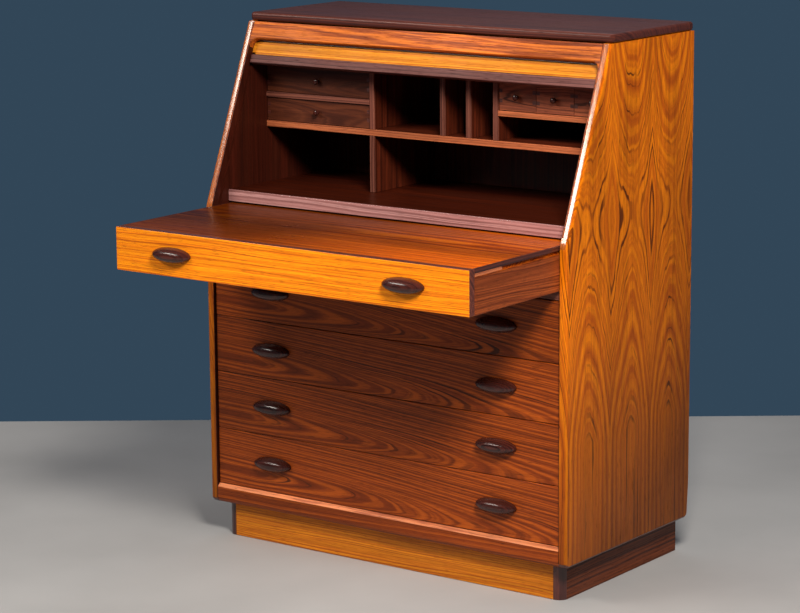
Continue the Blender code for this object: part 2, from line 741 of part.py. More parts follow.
def make_tambour(bench):
    about = slope_point(TAMBOUR_OPEN, RAIL_BACK)
    axis = bench.empty("tambour_axis", (0.0, *about), bench.desk)
    start, end = TAMBOUR_OPEN, TAMBOUR_OPEN + RAIL_HEIGHT
    section = across_slope(start, end, RAIL_FRONT, RAIL_BACK, about)
    rail = section_piece(bench, "grip_rail", section, INNER - 0.001, "rosewood_dark", axis)
    add_tongues(bench, rail, start + 0.004, end - 0.002, about, axis)
    start, end = (TAMBOUR_OPEN + along for along in LEAD_SLAT)
    section = across_slope(start, end, SLAT_BACK - SLAT_THICK, SLAT_BACK, about)
    slat = section_piece(bench, "lead_slat", section, SLAT_HALF_WIDTH, "tambour_slats", axis)
    add_tongues(bench, slat, start + 0.002, end - 0.002, about, axis)
    track = Track()
    for name, count, first in tambour_groups():
        length = count * SLAT_PITCH - SLAT_GAP
        pole, _ = pole_of(first, first + length)
        axis = bench.empty(f"{name}_axis", (0.0, *pole), bench.desk)
        corner, way = track.chord(TAMBOUR_OPEN + first, TAMBOUR_OPEN + first + length)
        outward = Vector((-way.y, way.x))
        section = [corner + way * p.x + outward * p.y - pole for p in slat_section(count)]
        section_piece(bench, name, section, SLAT_HALF_WIDTH, "tambour_slats", axis)


def main():
    clear_scene()
    bench = Bench()
    make_sides(bench)
    make_top(bench)
    make_header(bench)
    make_bottom(bench)
    make_back(bench)
    make_plinth(bench)
    make_inner_boards(bench)
    make_pigeonholes(bench)
    make_small_drawers(bench)
    make_drawers(bench)
    make_slide(bench)
    make_tambour(bench)


main()
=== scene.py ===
"""Looks of the secretary desk: rosewood case, sloped tambour front, writing slide, drawers and pigeonholes.

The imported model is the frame. Each sub-assembly is a class that builds its visible pieces in the row's frame,
dresses them in procedural wood and hangs them on the bodies that move.
"""

import logging
import math
from collections.abc import Callable, Sequence
from dataclasses import dataclass, field, replace
from enum import Enum

import bmesh
import bpy
from mathutils import Matrix, Vector


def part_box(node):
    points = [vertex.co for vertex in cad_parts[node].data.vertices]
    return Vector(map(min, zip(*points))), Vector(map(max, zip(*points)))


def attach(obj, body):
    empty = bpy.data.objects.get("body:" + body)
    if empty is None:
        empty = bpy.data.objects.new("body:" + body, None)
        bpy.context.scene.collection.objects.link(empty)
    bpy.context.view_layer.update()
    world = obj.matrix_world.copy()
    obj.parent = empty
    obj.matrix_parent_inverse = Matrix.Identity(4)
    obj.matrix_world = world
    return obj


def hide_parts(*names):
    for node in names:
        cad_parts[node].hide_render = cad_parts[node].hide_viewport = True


LOG = logging.getLogger("secretary_desk")
Point2 = tuple[float, float]
Colour = tuple[float, float, float]

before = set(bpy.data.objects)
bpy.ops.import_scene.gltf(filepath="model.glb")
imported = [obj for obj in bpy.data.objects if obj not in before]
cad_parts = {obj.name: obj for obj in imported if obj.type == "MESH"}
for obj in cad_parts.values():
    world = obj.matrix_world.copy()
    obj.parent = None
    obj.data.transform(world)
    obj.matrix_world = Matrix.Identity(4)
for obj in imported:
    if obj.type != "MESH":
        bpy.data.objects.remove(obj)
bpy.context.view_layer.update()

PANEL = 0.019  # thickness of the side panels and the bottom board
RUNNER_RISE = 0.012  # how far above the middle of a wide drawer's front its runners lie


# ---------------------------------------------------------------- wood


class Lay(Enum):
    """How a board lies: the axes along its grain, across its face and into its thickness."""

    ACROSS_FRONT = "XZY"
    ACROSS_TOP = "XYZ"
    UP_SIDE = "ZYX"
    UP_FRONT = "ZXY"
    BACK_SIDE = "YZX"


@dataclass(frozen=True)
class Finish:
    """A veneer or a solid wood with its polish.

    The figure is that of rings round a pith that lies depth metres behind the face, and that comes nearer or
    goes further off along the board.
    """

    name: str
    slot: str
    light: Colour
    middle: Colour
    dark: Colour
    line: Colour
    ring: float = 0.005
    depth: float = 0.08
    rise: float = 0.0
    peak: float = 0.0
    tilt: float = 0.0
    aside: float = 0.0
    swing: float = 0.03
    wander: float = 0.012
    leaf: float = 4.0
    line_amount: float = 0.85
    fibre: float = 0.25
    shade: float = 0.2
    # Painted shade: these three fields darken the colour along a slant towards one corner of the board, where the
    # light falls off.
    fade: float = 0.0
    fade_start: float = 0.05
    fade_end: float = -0.62
    roughness: float = 0.34
    gloss: float = 0.2
    coat: float = 0.0


CASE_VENEER = Finish(
    "case_veneer",
    "rosewood_case",
    light=(0.78, 0.200, 0.003),
    middle=(0.60, 0.130, 0.003),
    dark=(0.47, 0.088, 0.003),
    line=(0.070, 0.011, 0.002),
    ring=0.0068,
    depth=0.110,
    rise=-0.20,
    peak=-0.06,
    wander=0.035,
    line_amount=0.9,
    leaf=0.154,
    shade=0.35,
    # Painted shade: the side panel's colour darkens towards its bottom and its rear.
    fade=0.74,
)
EDGE_WOOD = Finish(
    "edge_wood",
    "rosewood_case",
    light=(0.52, 0.140, 0.016),
    middle=(0.38, 0.088, 0.010),
    dark=(0.26, 0.062, 0.010),
    line=(0.08, 0.018, 0.005),
    aside=0.2,
    roughness=0.20,
    gloss=0.6,
    coat=1.0,
)
BEAD_WOOD = replace(
    EDGE_WOOD,
    name="bead_wood",
    light=(0.36, 0.080, 0.018),
    middle=(0.22, 0.046, 0.012),
    dark=(0.13, 0.028, 0.009),
    roughness=0.45,
    gloss=0.25,
    coat=0.0,
)
DARK_WOOD = Finish(
    "dark_wood",
    "rosewood_dark",
    light=(0.110, 0.028, 0.018),
    middle=(0.066, 0.017, 0.013),
    dark=(0.036, 0.010, 0.009),
    line=(0.012, 0.004, 0.004),
    aside=0.15,
    roughness=0.28,
    gloss=0.5,
    coat=0.15,
)
FRONT_VENEER = Finish(
    "front_veneer",
    "rosewood_front",
    light=(0.40, 0.076, 0.007),
    middle=(0.22, 0.036, 0.005),
    dark=(0.155, 0.026, 0.004),
    line=(0.024, 0.006, 0.003),
    ring=0.0031,
    depth=0.014,
    rise=0.050,
    peak=-0.40,
    tilt=0.045,
    swing=0.014,
    wander=0.010,
)
SLIDE_VENEER = Finish(
    "slide_veneer",
    "rosewood_slide",
    light=(0.98, 0.300, 0.006),
    middle=(0.82, 0.205, 0.005),
    dark=(0.52, 0.105, 0.005),
    line=(0.22, 0.036, 0.004),
    ring=0.0034,
    aside=0.16,
    swing=0.06,
    line_amount=0.42,
    fibre=0.7,
    shade=0.3,
)
TOP_VENEER = replace(
    FRONT_VENEER,
    name="writing_veneer",
    light=(0.68, 0.140, 0.004),
    middle=(0.44, 0.066, 0.003),
    dark=(0.25, 0.030, 0.003),
    line=(0.06, 0.010, 0.003),
    ring=0.006,
    depth=0.10,
    rise=0.0,
    tilt=0.0,
    line_amount=0.45,
    shade=0.5,
    # Painted shade: the writing top's colour darkens towards its left end and its rear.
    fade=0.74,
    fade_start=0.36,
    fade_end=-0.08,
    roughness=0.30,
    gloss=0.12,
)
INSIDE_VENEER = Finish(
    "inside_veneer",
    "rosewood_inside",
    light=(0.105, 0.018, 0.007),
    middle=(0.070, 0.012, 0.005),
    dark=(0.042, 0.008, 0.004),
    line=(0.016, 0.004, 0.003),
    ring=0.006,
    line_amount=0.5,
    roughness=0.36,
)
LIPPING = Finish(
    "lipping",
    "rosewood_edge",
    light=(0.58, 0.175, 0.065),
    middle=(0.40, 0.105, 0.040),
    dark=(0.22, 0.052, 0.024),
    line=(0.06, 0.016, 0.010),
    aside=0.15,
    roughness=0.42,
)
DARK_LIPPING = replace(
    LIPPING,
    name="dark_lipping",
    light=(0.20, 0.066, 0.042),
    middle=(0.135, 0.042, 0.028),
    dark=(0.075, 0.024, 0.018),
)
SLAT_WOOD = Finish(
    "slat_wood",
    "tambour_slats",
    light=(0.72, 0.270, 0.016),
    middle=(0.60, 0.190, 0.010),
    dark=(0.42, 0.105, 0.006),
    line=(0.22, 0.050, 0.006),
    ring=0.0030,
    aside=0.2,
    line_amount=0.55,
    fibre=0.45,
    roughness=0.5,
)
HANDLE_WOOD = Finish(
    "handle_wood",
    "handle_wood",
    light=(0.070, 0.015, 0.010),
    middle=(0.042, 0.010, 0.007),
    dark=(0.024, 0.006, 0.005),
    line=(0.010, 0.003, 0.003),
    ring=0.003,
    depth=0.03,
    roughness=0.19,
    gloss=0.4,
    coat=0.1,
)
DRAWER_WOOD = Finish(
    "drawer_wood",
    "drawer_lining",
    light=(0.62, 0.36, 0.15),
    middle=(0.50, 0.27, 0.10),
    dark=(0.37, 0.185, 0.065),
    line=(0.22, 0.10, 0.035),
    aside=0.05,
    depth=0.15,
    line_amount=0.35,
    roughness=0.5,
)
BACK_PLY = Finish(
    "back_ply",
    "back_ply",
    light=(0.42, 0.190, 0.070),
    middle=(0.31, 0.125, 0.045),
    dark=(0.19, 0.070, 0.026),
    line=(0.08, 0.028, 0.012),
    ring=0.007,
    depth=0.10,
    rise=-0.10,
    leaf=0.30,
    line_amount=0.5,
    roughness=0.55,
)
END_GRAIN = replace(DARK_WOOD, name="end_grain", ring=0.0018, fibre=0.6, roughness=0.45, coat=0.0)
CANVAS = Finish(
    "canvas",
    "tambour_slats",
    light=(0.42, 0.36, 0.26),
    middle=(0.36, 0.30, 0.21),
    dark=(0.28, 0.23, 0.16),
    line=(0.2, 0.16, 0.11),
    ring=0.002,
    aside=0.5,
    line_amount=0.3,
    fibre=0.9,
    roughness=0.85,
)


class Graph:
    """Adds nodes to a shader or geometry tree in short lines."""

    def __init__(self, tree: bpy.types.NodeTree) -> None:
        """Keep the tree that nodes are added to."""
        self.tree = tree

    def node(self, kind: str, settings: dict | None = None, **links: object) -> bpy.types.Node:
        """Add a node.

        Args:
            kind: The node's type.
            settings: Properties of the node itself.
            **links: A value or another node's socket for each input, named i0, i1 ... or by the input's name.

        Returns:
            The new node.
        """
        made = self.tree.nodes.new(kind)
        for key, value in (settings or {}).items():
            setattr(made, key, value)
        for key, value in links.items():
            socket = made.inputs[int(key[1:])] if key[1:].isdigit() else made.inputs[key.replace("_", " ")]
            if isinstance(value, bpy.types.NodeSocket):
                self.tree.links.new(value, socket)
            else:
                socket.default_value = value
        return made

    def math(self, operation: str, *values: object, clamp: bool = False) -> bpy.types.NodeSocket:
        """Add a Math node and return its result."""
        links = {f"i{k}": value for k, value in enumerate(values)}
        return self.node("ShaderNodeMath", {"operation": operation, "use_clamp": clamp}, **links).outputs[0]

    def vector(self, operation: str, *values: object) -> bpy.types.NodeSocket:
        """Add a Vector Math node and return its result."""
        links = {f"i{k}": value for k, value in enumerate(values)}
        return self.node("ShaderNodeVectorMath", {"operation": operation}, **links).outputs[0]

    def noise(self, vector: object, stretch: Sequence[float], detail: float = 2.0) -> bpy.types.Node:
        """Add a 3D noise over a stretched vector and return its node."""
        stretched = self.vector("MULTIPLY", vector, tuple(stretch))
        settings = {"noise_dimensions": "3D"}
        return self.node("ShaderNodeTexNoise", settings, Vector=stretched, Scale=1.0, Detail=detail)

    def noise_line(self, along: object, detail: float) -> bpy.types.NodeSocket:
        """Add a 1D noise and return its value."""
        made = self.node("ShaderNodeTexNoise", {"noise_dimensions": "1D"}, W=along, Scale=1.0, Detail=detail)
        return made.outputs["Fac"]

    def span(
        self, value: object, low: float, high: float, to_low: float = 0.0, to_high: float = 1.0
    ) -> bpy.types.NodeSocket:
        """Map a span of values to another, clamped, and return the result."""
        made = self.node("ShaderNodeMapRange", None, i0=value, i1=low, i2=high, i3=to_low, i4=to_high)
        return made.outputs[0]

    def mix(self, share: object, first: object, second: object, blend: str = "MIX") -> bpy.types.NodeSocket:
        """Mix two colours and return the result."""
        settings = {"data_type": "RGBA", "blend_type": blend}
        return self.node("ShaderNodeMix", settings, i0=share, i6=first, i7=second).outputs[2]


class WoodShop:
    """Keeps the shared shader groups and makes the materials of the boards."""

    COLOURS = ("Light", "Middle", "Dark", "Line")
    SIZES = (
        *("Ring", "Depth", "Rise", "Peak", "Tilt", "Aside", "Swing", "Wander", "Leaf", "Line Amount"),
        *("Fibre", "Shade", "Fade", "Fade Start", "Fade End"),
    )

    def __init__(self) -> None:
        """Build the two shader groups once."""
        self.figure = self.build_figure()
        self.polish = self.build_polish()
        self.made: dict[tuple, bpy.types.Material] = {}

    @staticmethod
    def new_group(
        name: str, inputs: dict[str, str], outputs: dict[str, str]
    ) -> tuple[bpy.types.NodeTree, Graph, bpy.types.Node, bpy.types.Node]:
        """Start a shader group.

        Args:
            name: The group's name.
            inputs: Socket type for each input's name.
            outputs: Socket type for each output's name.

        Returns:
            The group, a Graph on it, its input node and its output node.
        """
        tree = bpy.data.node_groups.new(name, "ShaderNodeTree")
        for direction, sockets in (("INPUT", inputs), ("OUTPUT", outputs)):
            for label, kind in sockets.items():
                tree.interface.new_socket(name=label, in_out=direction, socket_type=f"NodeSocket{kind}")
        graph = Graph(tree)
        return tree, graph, graph.node("NodeGroupInput"), graph.node("NodeGroupOutput")

    def build_figure(self) -> bpy.types.NodeTree:
        """Build the group that draws rings, dark lines, fibres and pores from the board's own coordinates."""
        sizes = dict.fromkeys((*self.SIZES, "Seed"), "Float")
        inputs = {"Vector": "Vector", **dict.fromkeys(self.COLOURS, "Color"), **sizes}
        outputs = {"Color": "Color", "Fine": "Float", "Pore": "Float"}
        tree, g, given, out = self.new_group("wood_figure", inputs, outputs)
        get = given.outputs
        away = g.vector("SCALE", (11.3, 7.1, 5.3))
        g.tree.links.new(get["Seed"], away.node.inputs["Scale"])
        place = g.vector("ADD", get["Vector"], away)
        along, across, inward = g.node("ShaderNodeSeparateXYZ", None, Vector=get["Vector"]).outputs
        half_leaf = g.math("MULTIPLY", get["Leaf"], 0.5)
        across = g.math("PINGPONG", g.math("ADD", across, half_leaf), get["Leaf"])
        across = g.math("SUBTRACT", across, half_leaf)
        folded = g.node("ShaderNodeCombineXYZ", None, i0=along, i1=across, i2=inward).outputs[0]
        folded = g.vector("ADD", folded, away)
        drift = g.noise(folded, (1.6, 7.0, 7.0)).outputs["Color"]
        slow = g.node("ShaderNodeSeparateColor", None, Color=drift)
        across = g.math("ADD", across, get["Aside"])
        beyond = g.math("SUBTRACT", along, get["Peak"])
        beyond = g.math("SQRT", g.math("MULTIPLY_ADD", beyond, beyond, 0.0025))
        across = g.math("MULTIPLY_ADD", get["Tilt"], beyond, across)
        off_centre = g.math("MULTIPLY_ADD", g.math("SUBTRACT", slow.outputs[0], 0.5), get["Wander"], across)
        pith = g.math("MULTIPLY_ADD", get["Rise"], beyond, get["Depth"])
        pith = g.math("MULTIPLY_ADD", g.math("SUBTRACT", slow.outputs[1], 0.5), get["Swing"], pith)
        pith = g.math("ADD", g.math("MAXIMUM", pith, 0.022), inward)
        squares = g.math("MULTIPLY_ADD", pith, pith, g.math("MULTIPLY", off_centre, off_centre))
        rings = g.math("DIVIDE", g.math("SQRT", squares), get["Ring"])
        wobble = g.math("SUBTRACT", g.noise(place, (2.6, 20.0, 20.0), 3.0).outputs["Fac"], 0.5)
        rings = g.math("ADD", g.math("MULTIPLY_ADD", wobble, 2.4, rings), get["Seed"])
        band = g.noise_line(rings, 3.0)
        fibre = g.noise(place, (10.0, 380.0, 380.0), 3.0).outputs["Fac"]
        band = g.math("MULTIPLY_ADD", g.math("SUBTRACT", fibre, 0.5), get["Fibre"], band)
        base = g.mix(g.span(band, 0.26, 0.47), get["Dark"], get["Middle"])
        base = g.mix(g.span(band, 0.45, 0.62), base, get["Light"])
        line = g.span(g.noise_line(g.math("MULTIPLY_ADD", rings, 1.5, 37.0), 2.5), 0.585, 0.66)
        faint = g.span(g.noise(place, (2.4, 20.0, 20.0), 3.0).outputs["Fac"], 0.42, 0.60, 0.12, 1.0)
        line = g.math("MULTIPLY", g.math("MULTIPLY", line, faint), get["Line Amount"])
        colour = g.mix(line, base, get["Line"])
        pore = g.span(g.noise(place, (42.0, 950.0, 950.0), 1.0).outputs["Fac"], 0.60, 0.70)
        colour = g.mix(g.math("MULTIPLY", pore, 0.55), colour, get["Line"])
        brightness = g.math("SUBTRACT", g.noise(folded, (1.3, 5.0, 5.0)).outputs["Fac"], 0.5)
        broad = g.math("MULTIPLY_ADD", brightness, g.math("MULTIPLY", get["Shade"], 4.0), 1.0)
        streak = g.span(g.noise(place, (2.2, 150.0, 150.0), 2.0).outputs["Fac"], 0.3, 0.7, -0.16, 0.16)
        broad = g.math("ADD", broad, streak)
        # Painted shade: darken the colour along a slant towards one corner of the board.
        sideways = g.node("ShaderNodeSeparateXYZ", None, Vector=get["Vector"]).outputs[1]
        corner = g.math("MULTIPLY_ADD", sideways, -0.6, along)
        fade = g.math("MULTIPLY", g.span(corner, get["Fade Start"], get["Fade End"]), get["Fade"])
        broad = g.math("MULTIPLY", broad, g.math("SUBTRACT", 1.0, fade))
        colour = g.vector("SCALE", colour)
        g.tree.links.new(broad, colour.node.inputs["Scale"])
        g.tree.links.new(colour, out.inputs["Color"])
        g.tree.links.new(g.math("MULTIPLY_ADD", pore, -0.8, fibre), out.inputs["Fine"])
        g.tree.links.new(pore, out.inputs["Pore"])
        return tree

    def build_polish(self) -> bpy.types.NodeTree:
        """Build the group that makes the lacquer uneven: duller where it was rubbed and in open pores."""
        inputs = {"Vector": "Vector", "Roughness": "Float", "Pore": "Float"}
        tree, g, given, out = self.new_group("polish", inputs, {"Roughness": "Float"})
        wear_and_sheen = g.noise(given.outputs["Vector"], (5.0, 9.0, 9.0), 4.0).outputs["Fac"]
        rubbed = g.span(wear_and_sheen, 0.35, 0.65, 0.88, 1.22)
        rough = g.math("MULTIPLY", given.outputs["Roughness"], rubbed)
        g.tree.links.new(g.math("MULTIPLY_ADD", given.outputs["Pore"], 0.25, rough), out.inputs["Roughness"])
        return tree

    def material(self, finish: Finish, lay: Lay, centre: Vector, seed: float) -> bpy.types.Material:
        """Make the material of one board.

        Args:
            finish: The wood and its polish.
            lay: How the board's grain and face lie.
            centre: The point of the row's frame where the figure is centred.
            seed: A number that gives the board its own figure.

        Returns:
            The material.
        """
        key = (finish, lay, tuple(round(c, 4) for c in centre), seed)
        if key in self.made:
            return self.made[key]
        made = bpy.data.materials.new(finish.name)
        made.use_nodes = True
        made.diffuse_color = (*finish.middle, 1.0)
        g = Graph(made.node_tree)
        shader = made.node_tree.nodes["Principled BSDF"]
        here = g.node("ShaderNodeTexCoord").outputs["Object"]
        moved = g.node("ShaderNodeMapping", None, Vector=here, Location=tuple(-c for c in centre)).outputs[0]
        parts = g.node("ShaderNodeSeparateXYZ", None, Vector=moved).outputs
        order = {f"i{k}": parts[axis] for k, axis in enumerate(lay.value)}
        board = g.node("ShaderNodeCombineXYZ", None, **order).outputs[0]
        figure = g.node("ShaderNodeGroup", {"node_tree": self.figure}, Vector=board)
        for label in self.COLOURS:
            figure.inputs[label].default_value = (*getattr(finish, label.lower()), 1.0)
        for label in self.SIZES:
            figure.inputs[label].default_value = getattr(finish, label.lower().replace(" ", "_"))
        figure.inputs["Seed"].default_value = seed
        polish = g.node(
            "ShaderNodeGroup",
            {"node_tree": self.polish},
            Vector=board,
            Roughness=finish.roughness,
            Pore=figure.outputs["Pore"],
        )
        bump = g.node("ShaderNodeBump", None, Strength=0.25, Distance=0.0003, Height=figure.outputs["Fine"])
        link = made.node_tree.links.new
        link(figure.outputs["Color"], shader.inputs["Base Color"])
        link(polish.outputs["Roughness"], shader.inputs["Roughness"])
        link(bump.outputs["Normal"], shader.inputs["Normal"])
        shader.inputs["Specular IOR Level"].default_value = finish.gloss
        shader.inputs["Coat Weight"].default_value = finish.coat
        shader.inputs["Coat Roughness"].default_value = 0.16
        self.made[key] = made
        return made


# ---------------------------------------------------------------- shapes


def add(name: str, data: bpy.types.ID) -> bpy.types.Object:
    """Put an object with this mesh, light or camera into the scene."""
    obj = bpy.data.objects.new(name, data)
    bpy.context.scene.collection.objects.link(obj)
    return obj


def evaluated(obj: bpy.types.Object) -> bpy.types.Mesh:
    """Copy an object's mesh as its modifiers leave it."""
    graph = bpy.context.evaluated_depsgraph_get()
    return bpy.data.meshes.new_from_object(obj.evaluated_get(graph))


def middle_of(obj: bpy.types.Object) -> Vector:
    """Find the middle of an object's box."""
    return (Vector(obj.bound_box[0]) + Vector(obj.bound_box[6])) / 2


class Form:
    """A shape in the making, in the row's frame, with a joiner's few operations."""

    def __init__(self) -> None:
        """Start empty."""
        self.mesh = bmesh.new()

    @classmethod
    def box(
        cls, low: Sequence[float], high: Sequence[float], radius: float = 0.0, segments: int = 3
    ) -> "Form":
        """Make a box between two corners.

        Args:
            low: Its lowest corner.
            high: Its highest corner.
            radius: Rounding of every edge.
            segments: Faces across each rounded edge.

        Returns:
            The form.
        """
        low, high = Vector(low), Vector(high)
        made = cls()
        place = Matrix.Translation((low + high) / 2) @ Matrix.Diagonal((*(high - low), 1.0))
        bmesh.ops.create_cube(made.mesh, size=1.0, matrix=place)
        if radius:
            made.ease(radius, segments)
        return made

    @classmethod
    def prism(cls, outline: Sequence[Point2], start: float, end: float, place: Callable) -> "Form":
        """Make an outline thick.

        Args:
            outline: Corners in order.
            start: One end of the thickness.
            end: The other end.
            place: Gives the point of the row's frame for (p, q, t): the outline's two numbers and the
                thickness's.

        Returns:
            The form.
        """
        made = cls()
        near = [made.mesh.verts.new(place(p, q, start)) for p, q in outline]
        far = [made.mesh.verts.new(place(p, q, end)) for p, q in outline]
        made.mesh.faces.new(near)
        made.mesh.faces.new(far[::-1])
        for k in range(len(outline)):
            made.mesh.faces.new((near[k - 1], far[k - 1], far[k], near[k]))
        bmesh.ops.recalc_face_normals(made.mesh, faces=made.mesh.faces)
        return made

    @classmethod
    def loft(cls, rows: Sequence[Sequence[Vector]], start: Vector, end: Vector) -> "Form":
        """Skin rings of points, closed by one point at each end."""
        made = cls()
        rings = [[made.mesh.verts.new(point) for point in row] for row in rows]
        tips = made.mesh.verts.new(start), made.mesh.verts.new(end)
        count = len(rows[0])
        for one, two in zip(rings, rings[1:]):
            for k in range(count):
                made.mesh.faces.new((one[k - 1], one[k], two[k], two[k - 1]))
        for tip, ring in zip(tips, (rings[0], rings[-1])):
            for k in range(count):
                made.mesh.faces.new((tip, ring[k - 1], ring[k]))
        bmesh.ops.recalc_face_normals(made.mesh, faces=made.mesh.faces)
        return made

    def ease(self, radius: float, segments: int = 3, chosen: Callable | None = None) -> None:
        """Round or chamfer edges.

        Args:
            radius: Size of the rounding.
            segments: Faces across it; 1 makes a chamfer.
            chosen: Says from an edge's two ends whether to round it; all sharp edges by default.
        """
        edges = [
            edge
            for edge in self.mesh.edges
            if (chosen(edge.verts[0].co, edge.verts[1].co) if chosen else edge.calc_face_angle(0.0) > 0.6)
        ]
        bmesh.ops.bevel(self.mesh, geom=edges, offset=radius, segments=segments, profile=0.5, affect="EDGES")

    def to_mesh(self, name: str) -> bpy.types.Mesh:
        """Turn the form into a mesh and let the bmesh go."""
        bmesh.ops.remove_doubles(self.mesh, verts=self.mesh.verts, dist=1e-6)
        mesh = bpy.data.meshes.new(name)
        self.mesh.to_mesh(mesh)
        self.mesh.free()
        return mesh


def across(y: float, z: float, x: float) -> Vector:
    """Place an outline of depths and heights that is made thick across the desk."""
    return Vector((x, y, z))


def upright(x: float, y: float, z: float) -> Vector:
    """Place an outline seen from above that is made thick upwards."""
    return Vector((x, y, z))


def rounded(corners: Sequence[tuple[float, float, float]], steps: int = 8) -> list[Point2]:
    """Round the corners of an outline.

    Args:
        corners: Each corner with its radius, 0 for a sharp one.
        steps: Straight pieces in each arc.

    Returns:
        The outline's points.
    """
    points: list[Point2] = []
    for i, (x, y, radius) in enumerate(corners):
        here = Vector((x, y))
        if not radius:
            points.append((x, y))
            continue
        before = (Vector(corners[i - 1][:2]) - here).normalized()
        after = (Vector(corners[(i + 1) % len(corners)][:2]) - here).normalized()
        half = before.angle(after) / 2
        middle = here + (before + after).normalized() * radius / math.sin(half)
        first = here + before * radius / math.tan(half) - middle
        sweep = first.angle_signed(here + after * radius / math.tan(half) - middle)
        points += [tuple(middle + Matrix.Rotation(-sweep * k / steps, 2) @ first) for k in range(steps + 1)]
    return points


class Bench:
    """Turns forms into finished pieces: placed, dressed, and riding on their bodies."""

    def __init__(self) -> None:
        """Start with an empty count and the wood shop."""
        self.wood = WoodShop()
        self.count = 0

    @staticmethod
    def freeze(obj: bpy.types.Object) -> None:
        """Give the object the mesh that its modifiers make, and drop them."""
        mesh = evaluated(obj)
        obj.modifiers.clear()
        obj.data = mesh

    def settle(self, obj: bpy.types.Object) -> None:
        """Shade the object's rounded edges smooth and its flats even, in a plain mesh."""
        obj.data.shade_smooth()
        obj.data.set_sharp_from_angle(angle=math.radians(42.0))
        even = obj.modifiers.new("even_faces", "WEIGHTED_NORMAL")
        even.keep_sharp = True
        even.weight = 100
        self.freeze(obj)

    def place(self, name: str, mesh: bpy.types.Mesh, carve: Sequence[Form] = ()) -> bpy.types.Object:
        """Put a mesh into the scene, less the forms carved from it."""
        obj = add(name, mesh)
        for k, form in enumerate(carve):
            helper = add(f"{name}_cut_{k}", form.to_mesh(f"{name}_cut_{k}"))
            cut = obj.modifiers.new(f"cut_{k}", "BOOLEAN")
            cut.operation, cut.solver, cut.object = "DIFFERENCE", "EXACT", helper
            self.freeze(obj)
            bpy.data.objects.remove(helper, do_unlink=True)
        self.settle(obj)
        return obj

    def finish(
        self,
        obj: bpy.types.Object,
        body: str,
        finish: Finish,
        lay: Lay,
        nodes: Sequence[str] = (),
        centre: Sequence[float] | None = None,
        seed: float | None = None,
    ) -> bpy.types.Object:
        """Dress a piece, hang it on its body and say which CAD nodes it stands for.

        Args:
            obj: The piece.
            body: The body that it moves with.
            finish: Its wood.
            lay: How its grain and face lie.
            nodes: The CAD nodes that it replaces.
            centre: Where its figure is centred; the middle of its box by default.
            seed: The number of its own figure; the count of pieces by default.

        Returns:
            The piece.
        """
        self.count += 1
        place = middle_of(obj) if centre is None else Vector(centre)
        material = self.wood.material(finish, lay, place, self.count * 1.37 if seed is None else seed)
        obj.data.materials.clear()
        obj.data.materials.append(material)
        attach(obj, body)
        if nodes:
            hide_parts(*nodes)
        LOG.info("%s on %s: %d faces", obj.name, body, len(obj.data.polygons))
        return obj

    def veneer(self, obj: bpy.types.Object, finish: Finish, lay: Lay, chosen: Callable) -> None:
        """Give some faces of a piece another veneer.

        Args:
            obj: The finished piece.
            finish: The other veneer.
            lay: How it lies.
            chosen: Says from a face's middle and normal whether the face gets it.
        """
        obj.data.materials.append(self.wood.material(finish, lay, middle_of(obj), self.count * 0.7))
        for face in obj.data.polygons:
            if chosen(face.center, face.normal):
                face.material_index = len(obj.data.materials) - 1

    def piece(
        self, name: str, form: Form, *args: object, carve: Sequence[Form] = (), **kwargs: object
    ) -> bpy.types.Object:
        """Make a piece from a form."""
        return self.finish(self.place(name, form.to_mesh(name), carve), *args, **kwargs)

    def board(
        self, node: str, body: str, finish: Finish, lay: Lay, radius: float = 0.0012, **kwargs: object
    ) -> bpy.types.Object:
        """Rebuild a plain board of the CAD with its arrises eased."""
        low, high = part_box(node)
        return self.piece(f"{node}_board", Form.box(low, high, radius), body, finish, lay, [node], **kwargs)


# ---------------------------------------------------------------- the case


@dataclass(frozen=True)
class Slope:
    """The plane of the sloped front, from the knee up."""

    knee_y: float
    knee_z: float = 0.7285
    lean: float = math.atan2(0.163, 1.1305 - 0.7285)

    def point(self, up: float, behind: float) -> Vector:
        """Depth and height of a point so far up the slope and so far behind its plane."""
        sine, cosine = math.sin(self.lean), math.cos(self.lean)
        return Vector((self.knee_y + up * sine + behind * cosine, self.knee_z + up * cosine - behind * sine))


@dataclass(frozen=True)
class Track:
    """The path of the tambour's slats: up the slope, round a bend, then back and a little down."""

    slope: Slope
    canvas: float = 0.024
    corner: float = 1.094
    bend: float = 0.033
    fall: float = math.radians(13.0)

    @property
    def turned(self) -> float:
        """The angle of the whole bend."""
        return math.pi / 2 - self.slope.lean + self.fall

    @property
    def straight(self) -> float:
        """Length of the straight run up the slope."""
        foot = self.slope.point(0.0, self.canvas)
        return (self.corner - foot.y) / math.cos(self.slope.lean) - self.bend * math.tan(self.turned / 2)

    def at(self, along: float, shift: float = 0.0) -> Vector:
        """The point so far along the canvas line, moved inwards by shift."""
        if along <= self.straight:
            return self.slope.point(along, self.canvas + shift)
        middle = self.slope.point(self.straight, self.canvas + self.bend)
        out = Vector((-math.cos(self.slope.lean), math.sin(self.slope.lean))) * (self.bend - shift)
        arc = self.bend * self.turned
        if along <= self.straight + arc:
            return middle + Matrix.Rotation(-(along - self.straight) / self.bend, 2) @ out
        back = Vector((math.cos(self.fall), -math.sin(self.fall)))
        return middle + Matrix.Rotation(-self.turned, 2) @ out + back * (along - self.straight - arc)

    def line(self, start: float, end: float, shift: float, steps: int = 14) -> list[Point2]:
        """Points of the track between two lengths, with a close row of them round the bend."""
        arc = self.bend * self.turned
        stops = [start, *[self.straight + arc * k / steps for k in range(steps + 1)], end]
        return [tuple(self.at(stop, shift)) for stop in stops]


